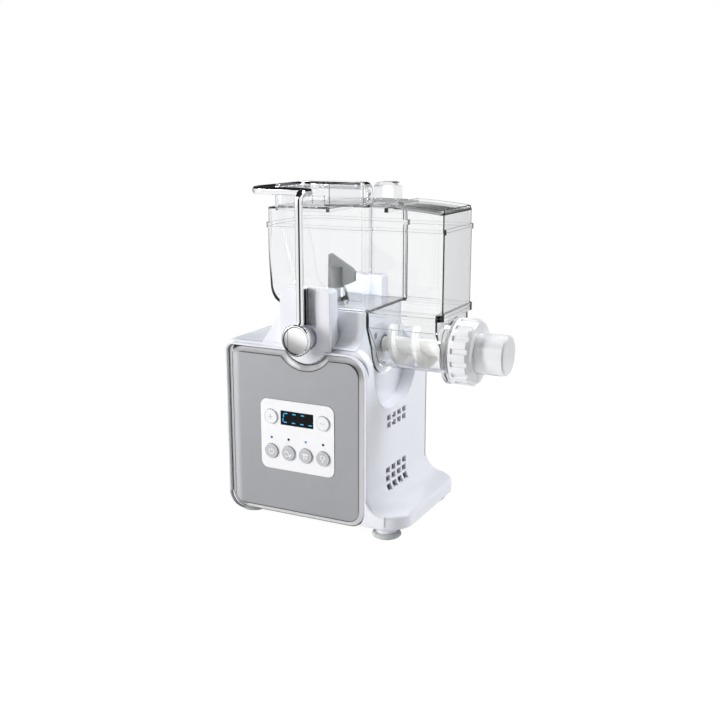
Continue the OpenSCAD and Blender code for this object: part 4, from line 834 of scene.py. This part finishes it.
key_ring = [bow(0, 0, 7.1, 0, 360, 0.35, 48)]
minus = [line(-2.6, 0, 2.6, 0, 0.8)]
plus = minus + [line(0, -2.6, 0, 2.6, 0.8)]
power = [bow(0, -0.3, 2.7, 120, 420, 0.8), line(0, 0.6, 0, 3.4, 0.8)]
blades = [bow(-1.9, 0, 1.9, 0, 180, 0.9), bow(1.9, 0, 1.9, 180, 360, 0.9),
          line(-3.8, -3.2, 3.8, -3.2, 0.7)]
strands = [line(-3.4, 1.6, 3.4, 1.6, 1.4)] + [line(x, 0.9, x, -3.4, 0.8) for x in (-1.8, 0, 1.8)]
loop = [bow(0, 1.3, 2.2, -60, 240, 1.0), line(0, -0.7, 0, -4.2, 1.2)]
signs = [printed_sign(name, key + "_button", strokes, ink, key + "_key")
         for name, key, strokes, ink, slot_name in (
             ("plus_sign", "plus", plus, grey_ink, "button_grey"),
             ("plus_ring", "plus", key_ring, grey_ink, "button_grey"),
             ("minus_ring", "minus", key_ring, grey_ink, "button_grey"),
             ("minus_sign", "minus", minus, grey_ink, "button_grey"),
             ("power_sign", "power", power, white_ink, "button_white"),
             ("mix_sign", "mix", blades, white_ink, "button_white"),
             ("extrude_sign", "extrude", strands, white_ink, "button_white"),
             ("program_sign", "program", loop, white_ink, "button_white"))]
print(len(signs), "signs")

# %% [markdown]
# The studio. The machine stands on a small white table. A camera ray that misses it, and
# one that meets it, both see plain white, while the lamps still leave a faint shadow on
# it. Chrome and acrylic show a different room: white walls, a dark ceiling, and a dark
# upright strip in front, which draws the black lines that make metal read as chrome.

# %% Table
def round_table(radius):
    shape = bmesh.new()
    bmesh.ops.create_circle(shape, cap_ends=True, radius=radius, segments=96)
    mesh = bpy.data.meshes.new("table")
    shape.to_mesh(mesh)
    shape.free()
    table = bpy.data.objects.new("table", mesh)
    bpy.context.scene.collection.objects.link(table)
    return table


TABLE_SHARE, TABLE_GLOW = 0.9, 1.06


def table_white():
    """White for camera, mirror and glass rays, an ordinary pale surface for light."""
    material, tree, shader = new_finish("table_white")
    shader.inputs["Roughness"].default_value = 0.6
    cloud_colour(tree, shader, (0.9, 0.9, 0.905), 0.01, 0.2)
    rays = tree.nodes.new("ShaderNodeLightPath")
    mirrored = work_out(tree, "MAXIMUM", rays.outputs["Is Glossy Ray"],
                        rays.outputs["Is Transmission Ray"])
    seen = work_out(tree, "MAXIMUM", rays.outputs["Is Camera Ray"], mirrored)
    glow = tree.nodes.new("ShaderNodeEmission")
    glow.inputs["Strength"].default_value = TABLE_GLOW
    choose = tree.nodes.new("ShaderNodeMixShader")
    tree.links.new(work_out(tree, "MULTIPLY", seen, TABLE_SHARE), choose.inputs[0])
    tree.links.new(shader.outputs["BSDF"], choose.inputs[1])
    tree.links.new(glow.outputs["Emission"], choose.inputs[2])
    tree.links.new(choose.outputs["Shader"], tree.nodes["Material Output"].inputs["Surface"])
    return material


table = round_table(0.8)
table.data.materials.append(table_white())
print("table done")

# %% [markdown]
# A world in Blender has no walls. It is a colour for each direction, so the room is
# painted by sums on the ray's direction. Two helpers do them: one works out a value in
# the world's own tree, and one steps smoothly from 0 to 1 between two limits.

# %% Room
room = bpy.data.worlds.new("studio")
bpy.context.scene.world = room
room.use_nodes = True
room.node_tree.nodes.clear()


def room_sum(operation, first, second=None):
    return work_out(room.node_tree, operation, first, second)


def room_step(value, low, high):
    """0 below low, 1 above high, smooth between them."""
    node = room.node_tree.nodes.new("ShaderNodeMapRange")
    node.interpolation_type = "SMOOTHSTEP"
    node.inputs["From Min"].default_value = low
    node.inputs["From Max"].default_value = high
    room.node_tree.links.new(value, node.inputs["Value"])
    return node.outputs["Result"]


print("room opened")

# %% [markdown]
# Three measures say where a ray goes: how far up, how near to the side where the viewer
# stands, and how near to the wall opposite. Both nearnesses are divided by the ray's
# level part, so that they mark upright strips and not round spots.

# %% Directions in the room
STRIP_TOWARDS = Vector((0.448, -0.894, 0.0))
tree = room.node_tree
where = tree.nodes.new("ShaderNodeTexCoord")
split = tree.nodes.new("ShaderNodeSeparateXYZ")
tree.links.new(where.outputs["Generated"], split.inputs["Vector"])
up = split.outputs["Z"]
towards = tree.nodes.new("ShaderNodeVectorMath")
towards.operation = "DOT_PRODUCT"
towards.inputs[1].default_value = STRIP_TOWARDS
tree.links.new(where.outputs["Generated"], towards.inputs[0])
level_part = room_sum("SQRT", room_sum("SUBTRACT", 1.0, room_sum("POWER", up, 2.0)))
nearness = room_sum("DIVIDE", towards.outputs["Value"], room_sum("MAXIMUM", level_part, 0.001))
opposite = room_sum("MAXIMUM", 0.0, room_sum("MULTIPLY", nearness, -1.0))
print("directions set")

# %% [markdown]
# White walls carry a dark ceiling, which comes down low behind the machine, so that level
# bars turn black along their tops. A dark strip stands where the viewer stands, and the
# wall opposite is half grey, so that an upright rod shows a black line in its middle and
# grey edges. Clear walls look through to plain white below the ceiling, so the other dark
# parts count for mirrored rays only.

# %% Dark and light parts of the room
DARKNESS = 0.98
rays = tree.nodes.new("ShaderNodeLightPath")
glossy, through = rays.outputs["Is Glossy Ray"], rays.outputs["Is Transmission Ray"]
camera_ray = rays.outputs["Is Camera Ray"]
mirror_only = room_sum("MAXIMUM", 0.0, room_sum("SUBTRACT", glossy, through))
ceiling = room_step(up, 0.60, 0.72)
low_ceiling = room_step(room_sum("ADD", up, room_sum("MULTIPLY", opposite, 0.42)), 0.50, 0.58)
strip = room_step(nearness, 0.90, 0.945)
far_wall = room_sum("MULTIPLY", room_step(opposite, 0.30, 0.60), 0.5)
mirrored = room_sum("MAXIMUM", room_sum("MAXIMUM", low_ceiling, strip), far_wall)
dark = room_sum("MAXIMUM", ceiling, room_sum("MULTIPLY", mirrored, mirror_only))
shown = room_sum("SUBTRACT", 1.0, room_sum("MULTIPLY", dark, DARKNESS))
print("dark parts set")

# %% [markdown]
# The camera sees plain white, and mirrors and clear walls see the painted room. Diffuse
# light gets a slightly cool grey that is weak where the viewer stands, so the white
# housing keeps its soft shade on the corners that face no lamp.

# %% Light of the room
SOFT_LEVEL, SOFT_DIP = 0.24, 0.85
seen = room_sum("MAXIMUM", glossy, through)
dip = room_sum("MULTIPLY", room_step(nearness, 0.3, 0.85), SOFT_DIP)
soft = room_sum("MULTIPLY", room_sum("SUBTRACT", 1.0, dip), SOFT_LEVEL)
level = room_sum("ADD", room_sum("MULTIPLY", seen, shown),
                 room_sum("MULTIPLY", room_sum("SUBTRACT", 1.0, seen), soft))
level = room_sum("MAXIMUM", level, camera_ray)
tint = mix_colours(tree, room_sum("MAXIMUM", camera_ray, seen), (0.95, 0.965, 1.0, 1),
                   (1, 1, 1, 1))
light = tree.nodes.new("ShaderNodeBackground")
tree.links.new(tint, light.inputs["Color"])
tree.links.new(level, light.inputs["Strength"])
end = tree.nodes.new("ShaderNodeOutputWorld")
tree.links.new(light.outputs["Background"], end.inputs["Surface"])
print("room done")

# %% [markdown]
# Three lamps. A tall soft box stands in front to the left and lights the panel and the
# white keys. A strong one hangs behind to the right, lights the side wall and the top of
# the step from the rear, and leaves the corners that face the viewer in shade. That shade
# shows how round they are. A weak one high in front only fills the darkest hollows.

# %% Lamps
def soft_box(name, place, aim, width, height, watts, colour=(1, 1, 1)):
    data = bpy.data.lights.new(name, "AREA")
    data.shape = "RECTANGLE"
    data.size = width
    data.size_y = height
    data.energy = watts
    data.color = colour
    lamp = bpy.data.objects.new(name, data)
    bpy.context.scene.collection.objects.link(lamp)
    lamp.location = place
    lamp.rotation_euler = (Vector(aim) - Vector(place)).to_track_quat("-Z", "Y").to_euler()
    return lamp


MIDDLE = (0, 0, 0.18)
soft_box("front_left", (-1.35, -1.35, 0.75), MIDDLE, 0.5, 1.2, 30)
soft_box("front_high", (-0.2, -1.5, 1.3), MIDDLE, 0.8, 0.6, 4)
soft_box("rear_right", (0.7, 0.8, 1.3), MIDDLE, 0.7, 0.7, 21, (0.96, 0.975, 1.0))
print("lamps done")

# %% [markdown]
# The camera looks down at the machine from the front right with a moderate lens, a little
# above the bowl.

# %% Camera
FOCAL_PIXELS, FRAME_PIXELS, SENSOR_WIDTH = 1004.7, 720, 36.0
LOOK_DOWN, LOOK_ROUND = 13.23, 26.63
lens = bpy.data.cameras.new("camera")
lens.sensor_width = SENSOR_WIDTH
lens.lens = FOCAL_PIXELS / FRAME_PIXELS * SENSOR_WIDTH
camera = bpy.data.objects.new("camera", lens)
bpy.context.scene.collection.objects.link(camera)
camera.location = (0.4365, -0.9114, 0.4024)
camera.rotation_euler = (math.radians(90 - LOOK_DOWN), 0, math.radians(LOOK_ROUND))
bpy.context.scene.camera = camera
bpy.context.scene.view_settings.view_transform = "Standard"
print("camera lens", round(lens.lens, 2))
